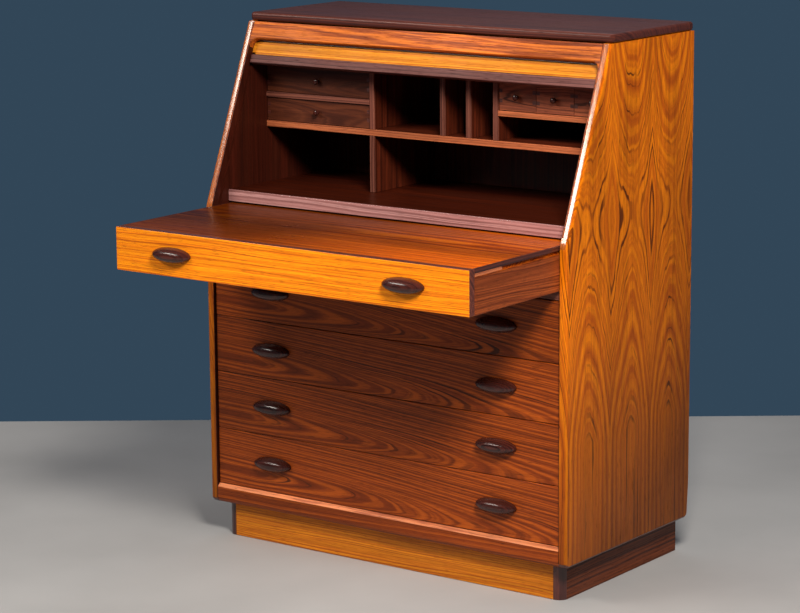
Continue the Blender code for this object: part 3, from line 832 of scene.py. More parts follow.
@dataclass
class Case:
    """The carcase: sides, top, header, bottom, back and plinth."""

    bench: Bench
    slope: Slope
    track: Track
    outer_round: float = 0.0064
    inner_chamfer: float = 0.0015
    bead: float = 0.0048
    knee_round: float = 0.045
    base_round: float = 0.013
    groove: Point2 = (0.0165, 0.0250)
    groove_depth: float = 0.006
    groove_run: Point2 = (0.012, 0.95)
    figure_centre: Point2 = (0.393, 0.82)
    header_low: float = 0.3765
    header_thick: float = 0.0145
    header_fillet: float = 0.019
    top_round: float = 0.0065
    plinth_round: float = 0.020

    def build(self) -> None:
        """Make every piece of the case."""
        for side in ("left", "right"):
            self.build_side(side)
        self.build_top()
        self.build_header()
        self.build_bottom()
        self.build_plinth()
        self.bench.board("back_panel", "case", BACK_PLY, Lay.UP_FRONT, 0.0008)

    def build_side(self, side: str) -> None:
        """Make one side panel, its bead and the strips inside it."""
        low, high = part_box(f"side_panel_{side}")
        sign, outer = (-1, low.x) if side == "left" else (1, high.x)
        inner = outer - sign * PANEL
        top_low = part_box("top_board")[0].z - 0.0003
        slope_up = (top_low - self.slope.knee_z) / math.cos(self.slope.lean)
        panel = self.build_panel(side, sign, (inner, outer), (low, high), top_low)
        self.dress_panel(panel, sign, inner)
        self.build_bead(side, sign, inner, slope_up)
        self.build_runners(side, sign, inner, low.y)

    def build_panel(
        self, side: str, sign: int, faces: Point2, box: tuple[Vector, Vector], top_low: float
    ) -> bpy.types.Object:
        """Make one side panel with its rounded rim and the tambour's groove.

        Args:
            side: "left" or "right".
            sign: -1 at the left and 1 at the right.
            faces: Places across the desk of the panel's inner and outer face.
            box: The panel's lowest and highest corner.
            top_low: Height of the underside of the top board.

        Returns:
            The panel.
        """
        inner, outer = faces
        front, back, base = box[0].y, box[1].y, box[0].z
        slope_up = (top_low - self.slope.knee_z) / math.cos(self.slope.lean)
        corners = (
            (front, base, self.base_round),
            (back, base, self.base_round),
            (back, top_low, 0.0),
            (self.slope.point(slope_up, 0.0).x, top_low, 0.0),
            (front, self.slope.knee_z, self.knee_round),
        )
        form = Form.prism(rounded(corners, 10), inner, outer, across)

        def on_rim(x: float) -> Callable:
            """Choose the edges of the face at x, less the one under the top board and the one at the back."""

            def chosen(a: Vector, b: Vector) -> bool:
                """Say whether the edge from a to b is one of them."""
                flat = abs(a.x - x) < 1e-5 and abs(b.x - x) < 1e-5
                return flat and min(a.z, b.z) < top_low - 1e-4 and min(a.y, b.y) < back - 1e-4

            return chosen

        form.ease(self.outer_round, 5, on_rim(outer))
        form.ease(self.inner_chamfer, 2, on_rim(inner))
        near, far = (self.track.line(*self.groove_run, wall - self.track.canvas) for wall in self.groove)
        cutter = Form.prism([*near, *far[::-1]], inner - sign * 0.01, inner + sign * self.groove_depth, across)
        return self.bench.piece(
            f"side_panel_{side}_veneered",
            form,
            "case",
            CASE_VENEER,
            Lay.UP_SIDE,
            [f"side_panel_{side}"],
            carve=[cutter],
            centre=Vector((inner, front + self.figure_centre[0], self.figure_centre[1])),
            seed=3.1 if side == "right" else 8.4,
        )

    def dress_panel(self, panel: bpy.types.Object, sign: int, inner: float) -> None:
        """Give the panel's inner face a darker veneer, partly darker wood and partly painted shade of the case's
        interior, and its sloped edge and its underside their own woods.
        """
        slope_out = Vector((0.0, -math.cos(self.slope.lean), math.sin(self.slope.lean)))
        deep = self.groove_depth + 0.0003
        # Painted shade: the inner face's veneer is darker than the inside veneer, partly as a darker wood and
        # partly for the shade inside the case.
        inside = replace(INSIDE_VENEER, leaf=0.154, light=(0.048, 0.008, 0.004), middle=(0.032, 0.006, 0.003))

        def on_slope(centre: Vector, normal: Vector) -> bool:
            """Choose the faces of the sloped edge, less the walls of the groove."""
            return normal.dot(slope_out) > 0.955 and (centre.x - inner) * sign > deep

        def within(centre: Vector, normal: Vector) -> bool:
            """Choose the inner face and the groove."""
            return normal.x * -sign > 0.5 or (centre.x - inner) * sign < deep

        self.bench.veneer(panel, inside, Lay.UP_SIDE, within)
        self.bench.veneer(panel, EDGE_WOOD, Lay.UP_SIDE, on_slope)
        self.bench.veneer(panel, DARK_WOOD, Lay.BACK_SIDE, lambda c, n: n.z < -0.25)

    def build_bead(self, side: str, sign: int, inner: float, slope_up: float) -> None:
        """Make the thin strip that lines the inner arris of the slope."""
        section = ((0.018, -0.0002), (slope_up - 0.001, -0.0002), (slope_up - 0.001, 0.002), (0.018, 0.002))
        outline = [tuple(self.slope.point(*corner)) for corner in section]
        bead = Form.prism(outline, inner + sign * self.inner_chamfer, inner + sign * self.bead, across)
        self.bench.piece(f"side_panel_{side}_bead", bead, "case", BEAD_WOOD, Lay.UP_SIDE)

    def build_runners(self, side: str, sign: int, inner: float, front: float) -> None:
        """Make the strips on one side panel that the drawers and the slide run on."""

        def strip(name: str, proud: float, ahead: float, low: float, high: float, *easing: float) -> None:
            """Make one strip that stands proud of the panel, between two heights."""
            ends = sorted((inner - sign * proud, inner + sign * 0.001))
            form = Form.box((ends[0], front + ahead, low), (ends[1], front + 0.440, high), *easing)
            self.bench.piece(name, form, "case", DRAWER_WOOD, Lay.BACK_SIDE)

        for number in range(1, 5):
            low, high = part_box(f"drawer_{number}_front")
            level = (low.z + high.z) / 2 + RUNNER_RISE
            strip(f"runner_{number}_{side}", 0.0085, 0.040, level - 0.006, level + 0.006, 0.001, 2)
        slide_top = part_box("slide_top")[1].z
        strip(f"slide_runner_{side}", 0.005, 0.126, slide_top - 0.0159, slide_top - 0.0101)

    def build_top(self) -> None:
        """Make the top board, whose edges are rounded all the way along."""
        low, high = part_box("top_board")
        corners = ((low.x, low.y), (high.x, low.y), (high.x, high.y), (low.x, high.y))
        outline = rounded([(x, y, 0.009) for x, y in corners], 6)
        form = Form.prism(outline, low.z, high.z, upright)
        form.ease(self.top_round, 5, lambda a, b: abs(a.z - b.z) < 1e-6)
        finish = replace(DARK_WOOD, name="top_wood", roughness=0.36, gloss=0.34, coat=0.0)
        self.bench.piece("top_board_rounded", form, "case", finish, Lay.ACROSS_TOP, ["top_board"])

    def build_header(self) -> None:
        """Make the rail above the tambour, with a hollow at each lower corner."""
        low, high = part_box("header_rail")
        up_high = (high.z - self.slope.knee_z) / math.cos(self.slope.lean)
        tip = self.header_low - self.header_fillet
        fillet = []
        for k in range(13):
            angle = math.pi * (1 - k / 24)
            fillet.append((
                low.x + self.header_fillet * (1 + math.cos(angle)),
                tip + self.header_fillet * math.sin(angle),
            ))
        outline = [(low.x, up_high), *fillet, *[(-x, up) for x, up in reversed(fillet)], (high.x, up_high)]

        def place(x: float, up: float, behind: float) -> Vector:
            """Put a point of the header on the slope."""
            return Vector((x, *self.slope.point(up, behind)))

        form = Form.prism(outline, 0.0, self.header_thick, place)
        front = Vector((0.0, *self.slope.point(0.0, 0.0)))
        normal = Vector((0.0, -math.cos(self.slope.lean), math.sin(self.slope.lean)))

        def lower_front(a: Vector, b: Vector) -> bool:
            """Choose the front edges along the bottom and the fillets."""
            on_face = all(abs((p - front).dot(normal)) < 1e-5 for p in (a, b))
            return on_face and min(a.z, b.z) < high.z - 0.02 and max(a.z, b.z) < high.z - 0.001

        form.ease(0.0030, 3, lower_front)
        finish = replace(
            FRONT_VENEER,
            name="header_veneer",
            light=(0.62, 0.150, 0.018),
            middle=(0.33, 0.066, 0.012),
            dark=(0.17, 0.032, 0.008),
            ring=0.009,
            depth=0.08,
            rise=0.0,
            swing=0.05,
            wander=0.08,
            shade=0.9,
            fibre=0.9,
            line_amount=0.15,
            roughness=0.5,
            gloss=0.25,
            coat=0.0,
        )
        self.bench.piece("header_rail_veneered", form, "case", finish, Lay.ACROSS_FRONT, ["header_rail"])
        # Painted shade: a dark strip behind the header's lower edge fills the gap down to the lead slat, so the gap
        # reads dark.
        foot = self.header_low - 0.0024
        corners = ((foot, 0.0146), (foot + 0.014, 0.0146), (foot + 0.014, 0.0169), (foot, 0.0169))
        section = [tuple(self.slope.point(*corner)) for corner in corners]
        lip = Form.prism(section, low.x + 0.001, high.x - 0.001, across)
        self.bench.piece("header_gap_shade_strip", lip, "case", DARK_WOOD, Lay.ACROSS_FRONT)

    def build_bottom(self) -> None:
        """Make the bottom board with its chamfered lip."""
        low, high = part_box("bottom_board")
        lip_depth, chamfer = 0.030, 0.007
        outline = rounded(
            (
                (low.y, low.z, self.base_round),
                (high.y, low.z, 0.0),
                (high.y, low.z + PANEL, 0.0),
                (low.y + lip_depth, low.z + PANEL, 0.0),
                (low.y + lip_depth, high.z, 0.0015),
                (low.y + chamfer, high.z, 0.0015),
                (low.y, high.z - chamfer, 0.0015),
            ),
            4,
        )
        form = Form.prism(outline, low.x, high.x, across)
        finish = replace(FRONT_VENEER, name="lip_wood", aside=0.12, line_amount=0.5)
        name = "bottom_board_lipped"
        board = self.bench.piece(name, form, "case", finish, Lay.ACROSS_FRONT, ["bottom_board"])
        # Painted highlight: the lip's chamfer gets a lighter, pinker mottled colour for the light it catches, as
        # well as a glossier polish.
        wear_and_sheen = replace(LIPPING, name="lip_polish_and_painted_highlight", light=(0.62, 0.20, 0.075), shade=0.8, fibre=0.9)
        wear_and_sheen = replace(wear_and_sheen, roughness=0.3, gloss=0.5)
        self.bench.veneer(board, wear_and_sheen, Lay.ACROSS_FRONT, lambda c, n: n.z > 0.2 and n.y < -0.2)

    def build_plinth(self) -> None:
        """Make the recessed plinth with its round front corners."""
        for side in ("left", "right"):
            low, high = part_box(f"plinth_{side}")
            outer, inner = (low.x, high.x) if side == "left" else (high.x, low.x)
            front = ((outer, low.y, self.plinth_round), (inner, low.y, 0.0))
            outline = rounded((*front, (inner, high.y, 0.0), (outer, high.y, 0.0015)), 10)
            form = Form.prism(outline, low.z, high.z, upright)
            finish = replace(DARK_WOOD, name="plinth_wood", light=(0.19, 0.043, 0.012))
            finish = replace(finish, middle=(0.12, 0.027, 0.009), roughness=0.45, gloss=0.2, coat=0.0)
            node = f"plinth_{side}"
            block = self.bench.piece(f"{node}_rounded", form, "case", finish, Lay.BACK_SIDE, [node])
            self.bench.veneer(block, DARK_WOOD, Lay.UP_FRONT, lambda c, n: n.y < -0.12)
        plinth = replace(SLIDE_VENEER, name="plinth_veneer", light=(0.70, 0.225, 0.010))
        plinth = replace(plinth, middle=(0.58, 0.155, 0.008), dark=(0.38, 0.085, 0.006))
        self.bench.board("plinth_front", "case", plinth, Lay.ACROSS_FRONT)
        self.bench.board("plinth_back", "case", DARK_WOOD, Lay.ACROSS_FRONT)


@dataclass
class Inside:
    """The boards inside the case and the pigeonholes."""

    bench: Bench
    shelf_boards: tuple[str, ...] = ("middle_shelf", "cubby_top", "small_shelf_left", "small_shelf_right")
    uprights: tuple[str, ...] = (
        "lower_divider",
        "divider_left",
        "divider_middle_left",
        "divider_middle_right",
        "divider_right",
    )
    lip_depth: float = 0.005

    def build(self) -> None:
        """Make the boards, each with a lipping along its front edge."""
        self.bench.board("cubby_back", "case", INSIDE_VENEER, Lay.UP_FRONT)
        self.lipped("dust_board", Lay.ACROSS_TOP, INSIDE_VENEER)
        floor = replace(INSIDE_VENEER, name="floor_veneer", light=(0.062, 0.009, 0.003))
        floor = replace(floor, middle=(0.040, 0.006, 0.002))
        self.lipped("floor_board", Lay.ACROSS_TOP, floor)
        for node in self.shelf_boards:
            self.lipped(node, Lay.ACROSS_TOP, INSIDE_VENEER)
        for node in self.uprights:
            self.lipped(node, Lay.UP_SIDE, INSIDE_VENEER)

    def lipped(self, node: str, lay: Lay, finish: Finish) -> None:
        """Make one board and its lipping."""
        low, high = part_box(node)
        seam = low.y + self.lip_depth
        face = Form.box((low.x, seam + 0.00005, low.z), high, 0.0003, 1)
        self.bench.piece(f"{node}_board", face, "case", finish, lay, [node])
        drop = 0.0040 if node == "floor_board" else 0.0
        lip = Form.box((low.x, low.y, low.z - drop), (high.x, seam, high.z), 0.0009, 3)
        lip_lay = Lay.UP_FRONT if lay is Lay.UP_SIDE else Lay.ACROSS_FRONT
        wood = LIPPING if node in ("middle_shelf", "cubby_top", "small_shelf_right") else DARK_LIPPING
        if node == "floor_board":
            wood = replace(LIPPING, name="lilac_lipping", light=(0.50, 0.25, 0.235), coat=0.5)
            wood = replace(wood, middle=(0.37, 0.165, 0.155), dark=(0.26, 0.11, 0.10), line=(0.16, 0.06, 0.055))
        self.bench.piece(f"{node}_lipping", lip, "case", wood, lip_lay)


# ---------------------------------------------------------------- repeated pieces


class RowTree:
    """Geometry Nodes that repeat one small bar along a line."""

    def __init__(self) -> None:
        """Build the tree once."""
        self.tree = self.build()

    @staticmethod
    def build() -> bpy.types.NodeTree:
        """Build the tree: a bar of rounded section, repeated, realised and dressed.

        Returns:
            The tree, whose inputs are the count, the step, the bar's length, width, thickness and rounding, how
            much narrower its far face is, how much wider its far end is, and the material, which stays empty here
            because the bench dresses the mesh.
        """
        tree = bpy.data.node_groups.new("row_of_bars", "GeometryNodeTree")
        for label, kind in (
            ("Count", "Int"),
            ("Step", "Vector"),
            ("Length", "Float"),
            ("Width", "Float"),
            ("Thickness", "Float"),
            ("Rounding", "Float"),
            ("Taper", "Float"),
            ("Flare", "Float"),
            ("Material", "Material"),
        ):
            tree.interface.new_socket(name=label, in_out="INPUT", socket_type=f"NodeSocket{kind}")
        tree.interface.new_socket(name="Geometry", in_out="OUTPUT", socket_type="NodeSocketGeometry")
        g = Graph(tree)
        given = g.node("NodeGroupInput").outputs
        out = g.node("NodeGroupOutput")
        sizes = {"Width": given["Width"], "Height": given["Thickness"]}
        section = g.node("GeometryNodeCurvePrimitiveQuadrilateral", None, **sizes)
        soft = g.node(
            "GeometryNodeFilletCurve", {"mode": "POLY"}, Curve=section.outputs[0], Radius=given["Rounding"], Count=4
        )
        half = g.math("MULTIPLY", given["Length"], 0.5)
        start = g.node("ShaderNodeCombineXYZ", None, X=g.math("MULTIPLY", half, -1.0)).outputs[0]
        end = g.node("ShaderNodeCombineXYZ", None, X=half).outputs[0]
        path = g.node("GeometryNodeCurvePrimitiveLine", None, Start=start, End=end)
        level = g.node("GeometryNodeSetCurveNormal", {"mode": "Z_UP"}, Curve=path.outputs[0])
        curves = {"Curve": level.outputs[0], "Profile_Curve": soft.outputs[0]}
        bar = g.node("GeometryNodeCurveToMesh", None, **curves, Fill_Caps=True)
        position = g.node("GeometryNodeInputPosition").outputs[0]
        where = g.node("ShaderNodeSeparateXYZ", None, Vector=position).outputs
        share = g.math("DIVIDE", where[2], given["Thickness"])
        narrow = g.math("SUBTRACT", 1.0, g.math("MULTIPLY", g.math("ADD", share, 0.5), given["Taper"]))
        flare = g.math("MULTIPLY_ADD", g.math("DIVIDE", where[0], given["Length"]), given["Flare"], narrow)
        width = g.math("MULTIPLY", where[1], flare)
        squeezed = g.node("ShaderNodeCombineXYZ", None, X=where[0], Y=width, Z=where[2])
        bar = g.node("GeometryNodeSetPosition", None, Geometry=bar.outputs[0], Position=squeezed.outputs[0])
        row = g.node("GeometryNodeMeshLine", None, Count=given["Count"], Offset=given["Step"])
        many = g.node("GeometryNodeInstanceOnPoints", None, Points=row.outputs[0], Instance=bar.outputs[0])
        real = g.node("GeometryNodeRealizeInstances", None, Geometry=many.outputs[0])
        dressed = g.node(
            "GeometryNodeSetMaterial", None, Geometry=real.outputs[0], Material=given["Material"]
        )
        tree.links.new(dressed.outputs[0], out.inputs[0])
        return tree

    def mesh(self, name: str, values: dict[str, object], place: Matrix) -> bpy.types.Mesh:
        """Evaluate the tree with these inputs and put the result in its place.

        Args:
            name: The mesh's name.
            values: A value for each named input.
            place: Where the first bar's middle goes, and which way the row is turned.

        Returns:
            A plain mesh in the row's frame.
        """
        holder = add(name, bpy.data.meshes.new(f"{name}_seed"))
        modifier = holder.modifiers.new("row", "NODES")
        modifier.node_group = self.tree
        for item in self.tree.interface.items_tree:
            if item.in_out == "INPUT" and item.name in values:
                modifier[item.identifier] = values[item.name]
        mesh = evaluated(holder)
        bpy.data.objects.remove(holder, do_unlink=True)
        mesh.transform(place)
        return mesh


# ---------------------------------------------------------------- handles, drawers and the slide


@dataclass(frozen=True)
class Handle:
    """A long turned pod with pointed ends that stands on a drawer's front."""

    length: float = 0.098
    height: float = 0.0318
    proud: float = 0.0218
    rings: int = 26
    around: int = 28

    def form(self, centre: Vector) -> Form:
        """Make the pod.

        Args:
            centre: The middle of its flat back, on the drawer's front.

        Returns:
            The form.
        """
        rows = []
        for i in range(1, self.rings):
            share = -math.cos(math.pi * i / self.rings)
            swell = (1 - abs(share) ** 2.25) ** 0.52
            row = []
            for k in range(self.around):
                angle = math.pi * 2 * k / self.around
                out = -math.cos(angle)
                reach = out if out < 0 else out * 0.12
                lift = math.copysign(abs(math.sin(angle)) ** 0.92, math.sin(angle))
                row.append(
                    centre
                    + Vector((
                        share * self.length / 2,
                        reach * self.proud * swell**0.85 - self.inset(out),
                        lift * self.height / 2 * swell,
                    ))
                )
            rows.append(row)
        half = Vector((self.length / 2, 0.0, 0.0))
        flat = Vector((0.0, -0.0016, 0.0))
        return Form.loft(rows, centre - half + flat, centre + half + flat)

    def inset(self, out: float) -> float:
        """Keep the back of the pod just clear of the drawer's front."""
        return 0.0004 if out >= 0 else 0.0002


@dataclass(frozen=True)
class Knob:
    """A small turned knob."""

    length: float = 0.012
    radius: float = 0.0066
    profile: tuple[Point2, ...] = (
        (0.55, 0.0),
        (0.50, 0.14),
        (0.56, 0.30),
        (0.84, 0.44),
        (1.00, 0.60),
        (1.00, 0.74),
        (0.86, 0.88),
        (0.50, 0.97),
    )

    def form(self, centre: Vector) -> Form:
        """Turn the knob about the line that stands on a front at centre."""
        rows = []
        for wide, out in self.profile:
            ring = []
            for k in range(24):
                angle = math.pi * 2 * k / 24
                reach = self.radius * wide
                spot = Vector((reach * math.cos(angle), -out * self.length, reach * math.sin(angle)))
                ring.append(centre + spot)
            rows.append(ring)
        return Form.loft(rows, centre, centre + Vector((0.0, -self.length, 0.0)))


@dataclass
class OpenBox:
    """The box behind a drawer's front: two sides, a back and a bottom, dovetailed."""

    bench: Bench
    name: str
    low: Vector
    high: Vector
    wall: float
    bottom: float
    finish: Finish
    groove: Point2 | None = None

    def build(self, node: str) -> None:
        """Make the boards; the left side stands for the CAD node."""
        low, high, wall = self.low, self.high, self.wall
        for side, start in (("left", low.x), ("right", high.x - wall)):
            cuts = []
            if self.groove:
                ends = (low.x - 0.01, low.x + 0.0095) if side == "left" else (high.x - 0.0095, high.x + 0.01)
                near, far = (ends[0], low.y + 0.012, self.groove[0]), (ends[1], high.y + 0.01, self.groove[1])
                cuts.append(Form.box(near, far))
            form = Form.box((start, low.y, low.z), (start + wall, high.y, high.z), 0.0012, 2)
            nodes = [node] if side == "left" else []
            name = f"{self.name}_side_{side}"
            self.bench.piece(name, form, self.name, self.finish, Lay.BACK_SIDE, nodes, carve=cuts)
        inner = (low.x + wall + 0.0001, high.x - wall - 0.0001)
        back = Form.box((inner[0], high.y - wall, low.z), (inner[1], high.y, high.z - 0.002), 0.001, 2)
        self.bench.piece(f"{self.name}_back", back, self.name, self.finish, Lay.ACROSS_FRONT)
        floor = Form.box(
            (inner[0], low.y, low.z + 0.001),
            (inner[1], high.y - wall - 0.0001, low.z + self.bottom),
            0.0005,
            1,
        )
        self.bench.piece(f"{self.name}_bottom", floor, self.name, self.finish, Lay.ACROSS_TOP)


@dataclass
class WideDrawer:
    """One of the four wide drawers."""

    bench: Bench
    rows: RowTree
    number: int
    wall: float = 0.013
    bottom: float = 0.006
    pins: int = 4
    handle: Handle = field(default_factory=Handle)

    def build(self) -> None:
        """Make the front, the box and the handles."""
        name = f"drawer_{self.number}"
        low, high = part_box(f"{name}_front")
        centre = Vector((-0.08, low.y, (low.z + high.z) / 2 - 0.022))
        form = Form.box(low, high, 0.0012)
        self.bench.piece(
            f"{name}_front_veneered",
            form,
            name,
            FRONT_VENEER,
            Lay.ACROSS_FRONT,
            [f"{name}_front"],
            centre=centre,
            seed=5.2 + 0.035 * self.number,
        )
        box_low, box_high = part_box(f"{name}_box")
        level = (low.z + high.z) / 2 + RUNNER_RISE
        groove = (level - 0.0066, level + 0.0066)
        box = OpenBox(self.bench, name, box_low, box_high, self.wall, self.bottom, DRAWER_WOOD, groove)
        box.build(f"{name}_box")
        self.build_pins(name, box_low, box_high)
        add_handles(self.bench, name, name, self.handle)

    def build_pins(self, name: str, low: Vector, high: Vector) -> None:
        """Let the dark pins of the front's dovetails into the box's sides."""
        step = (high.z - low.z - 0.020) / (self.pins - 1)
        for side, x in (("left", low.x + 0.0003), ("right", high.x - 0.0003)):
            values = {
                "Count": self.pins,
                "Step": (0.0, step, 0.0),
                "Length": 0.0105,
                "Width": 0.0085,
                "Thickness": 0.0008,
                "Rounding": 0.0002,
                "Taper": 0.0,
                "Flare": 0.5,
            }
            place = Matrix((
                (0.0, 0.0, 1.0, x),
                (1.0, 0.0, 0.0, low.y + 0.0057),
                (0.0, 1.0, 0.0, low.z + 0.010),
                (0.0, 0.0, 0.0, 1.0),
            ))
            obj = self.bench.place(f"{name}_pins_{side}", self.rows.mesh(f"{name}_pins_{side}", values, place))
            self.bench.finish(obj, name, END_GRAIN, Lay.ACROSS_FRONT)


def add_handles(bench: Bench, name: str, body: str, handle: Handle) -> None:
    """Put a handle where each of the two CAD handles of a front is."""
    for side in ("left", "right"):
        node = f"{name}_handle_{side}"
        low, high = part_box(node)
        centre = Vector(((low.x + high.x) / 2, high.y, (low.z + high.z) / 2))
        bench.piece(f"{node}_pod", handle.form(centre), body, HANDLE_WOOD, Lay.ACROSS_FRONT, [node])


@dataclass
class SmallDrawer:
    """A little drawer of the pigeonholes, with dovetails that show on its front."""

    bench: Bench
    rows: RowTree
    name: str
    wall: float = 0.0085
    board: float = 0.007
    bottom: float = 0.005
    front_thick: float = 0.009
    tails: int = 2
    tail_height: float = 0.0078
    knob: Knob = field(default_factory=Knob)

    def build(self) -> None:
        """Make the front, the box, the tails' ends and the knob."""
        low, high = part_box(self.name)
        # Painted light: the two drawers at the left are darkened and the three at the right brightened, for how the
        # light reaches them.
        brightness = 0.55 if self.name in ("small_drawer_upper", "small_drawer_lower") else 1.6
        finish = replace(
            INSIDE_VENEER,
            name="small_drawer_wood",
            light=(0.20 * brightness, 0.054 * brightness, 0.024 * brightness),
            middle=(0.125 * brightness, 0.033 * brightness, 0.017 * brightness),
            dark=(0.07 * brightness, 0.020 * brightness, 0.012 * brightness),
            ring=0.004,
            swing=0.05,
            line_amount=0.8,
        )
        front = Form.box(low, (high.x, low.y + self.front_thick, high.z), 0.0007, 2)
        self.bench.piece(f"{self.name}_front", front, self.name, finish, Lay.ACROSS_FRONT, [self.name])
        box_low = Vector((low.x, low.y + self.front_thick + 0.0001, low.z))
        lining = replace(finish, name="small_box")
        OpenBox(self.bench, self.name, box_low, high, self.board, self.bottom, lining).build(self.name)
        self.build_tails(low, high)
        knob_low, knob_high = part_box(f"{self.name}_knob")
        centre = Vector(((knob_low.x + knob_high.x) / 2, knob_high.y, (knob_low.z + knob_high.z) / 2))
        self.bench.piece(
            f"{self.name}_knob_turned",
            self.knob.form(centre),
            self.name,
            HANDLE_WOOD,
            Lay.UP_FRONT,
            [f"{self.name}_knob"],
        )

    def build_tails(self, low: Vector, high: Vector) -> None:
        """Make the ends of the dovetails that show at both corners of the front."""
        pitch = (high.z - low.z) * 0.36
        first = (low.z + high.z) / 2 - pitch / 2 + 0.001
        for side, middle in (("left", low.x + self.wall / 2), ("right", high.x - self.wall / 2)):
            values = {
                "Count": self.tails,
                "Step": (0.0, pitch, 0.0),
                "Length": self.wall - 0.0004,
                "Width": self.tail_height,
                "Thickness": 0.0008,
                "Rounding": 0.0002,
                "Taper": 0.0,
            }
            turn = Matrix.Rotation(math.pi / 2, 4, "X")
            place = Matrix.Translation((middle, low.y + 0.0003, first)) @ turn
            mesh = self.rows.mesh(f"{self.name}_tails_{side}", values, place)
            obj = self.bench.place(f"{self.name}_tails_{side}", mesh)
            self.bench.finish(obj, self.name, END_GRAIN, Lay.ACROSS_FRONT)


@dataclass
class WritingSlide:
    """The slide that is pulled out to write on."""

    bench: Bench
    lip: float = 0.0045
    side: float = 0.016
    groove_low: float = 0.0165
    groove_high: float = 0.0095
    groove_deep: float = 0.0075
    filler: float = 0.092
    handle: Handle = field(default_factory=Handle)

    def build(self) -> None:
        """Make the front, the top, the frame, the fillers and the handles."""
        body = "writing_slide"
        low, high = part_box("slide_front")
        front = Form.box(low, high, 0.0016)
        name = "slide_front_veneered"
        board = self.bench.piece(name, front, body, SLIDE_VENEER, Lay.ACROSS_FRONT, ["slide_front"])
        band = replace(DARK_WOOD, name="slide_edge", light=(0.17, 0.040, 0.022), middle=(0.10, 0.024, 0.015))
        self.bench.veneer(board, band, Lay.ACROSS_TOP, lambda c, n: n.z > 0.4 or abs(n.x) > 0.8)
        self.build_top(body)
        self.build_frame(body)
        add_handles(self.bench, "slide", body, self.handle)

    def build_top(self, body: str) -> None:
        """Make the writing top between dark edge bands, with the grooves that it runs on."""
        low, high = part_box("slide_top")
        top = Form.box((low.x + self.lip, low.y, low.z), (high.x - self.lip, high.y, high.z), 0.0004, 1)
        self.bench.piece("slide_top_veneered", top, body, TOP_VENEER, Lay.ACROSS_TOP, ["slide_top"])
        for side, ends in (
            ("left", (low.x, low.x + self.lip - 0.0001)),
            ("right", (high.x - self.lip + 0.0001, high.x)),
        ):
            band = Form.box((ends[0], low.y, high.z - self.groove_high), (ends[1], high.y, high.z), 0.0008, 2)
            self.bench.piece(f"slide_band_{side}", band, body, DARK_WOOD, Lay.BACK_SIDE)
            heel = (low.z, high.z - self.groove_low)
            foot = Form.box((ends[0], low.y, heel[0]), (ends[1], high.y, heel[1]), 0.0003, 1)
            self.bench.piece(f"slide_heel_{side}", foot, body, FRONT_VENEER, Lay.BACK_SIDE)
            inset = 0.0006 if side == "left" else -0.0006
            y_end = low.y + self.filler
            middle = high.z - (self.groove_low + self.groove_high) / 2
            half = (self.groove_low - self.groove_high) / 2 - 0.0003
            start = low.y + 0.001
            end = self.round_end(y_end - half, middle, half)
            outline = [(start, middle - half), *end, (start, middle + half)]
            strip = Form.prism(outline, ends[0] + inset, ends[1] + inset, across)
            self.bench.piece(f"slide_filler_{side}", strip, body, replace(LIPPING, coat=0.6), Lay.BACK_SIDE)

    @staticmethod
    def round_end(y: float, z: float, radius: float) -> list[Point2]:
        """The half circle that ends the filler strip."""
        return [
            (y + radius * math.sin(math.pi * k / 10), z - radius * math.cos(math.pi * k / 10)) for k in range(11)
        ]

    def build_frame(self, body: str) -> None:
        """Make the frame below the top from its five boards."""
        low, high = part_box("slide_frame")
        side_finish = replace(
            FRONT_VENEER,
            name="slide_side_veneer",
            light=(0.32, 0.070, 0.017),
            middle=(0.21, 0.041, 0.011),
            dark=(0.13, 0.025, 0.008),
            rise=0.0,
            depth=0.10,
            aside=0.12,
            wander=0.05,
            shade=0.6,
            line_amount=0.5,
        )
        inner_left, inner_right = low.x + self.side, high.x - self.side
        for side, ends in (("left", (low.x, inner_left)), ("right", (inner_right, high.x))):
            form = Form.box((ends[0], low.y, low.z), (ends[1], high.y, high.z), 0.0012, 2)
            nodes = ["slide_frame"] if side == "left" else []
            self.bench.piece(f"slide_side_{side}", form, body, side_finish, Lay.BACK_SIDE, nodes)
        bay = (high.y - low.y - self.side) / 2
        for word, start in (("front", low.y), ("middle", low.y + bay), ("rear", high.y - self.side)):
            rail = Form.box(
                (inner_left + 0.0001, start, low.z), (inner_right - 0.0001, start + self.side, high.z), 0.0012, 2
            )
            self.bench.piece(f"slide_rail_{word}", rail, body, DARK_WOOD, Lay.ACROSS_FRONT)


# ---------------------------------------------------------------- the tambour


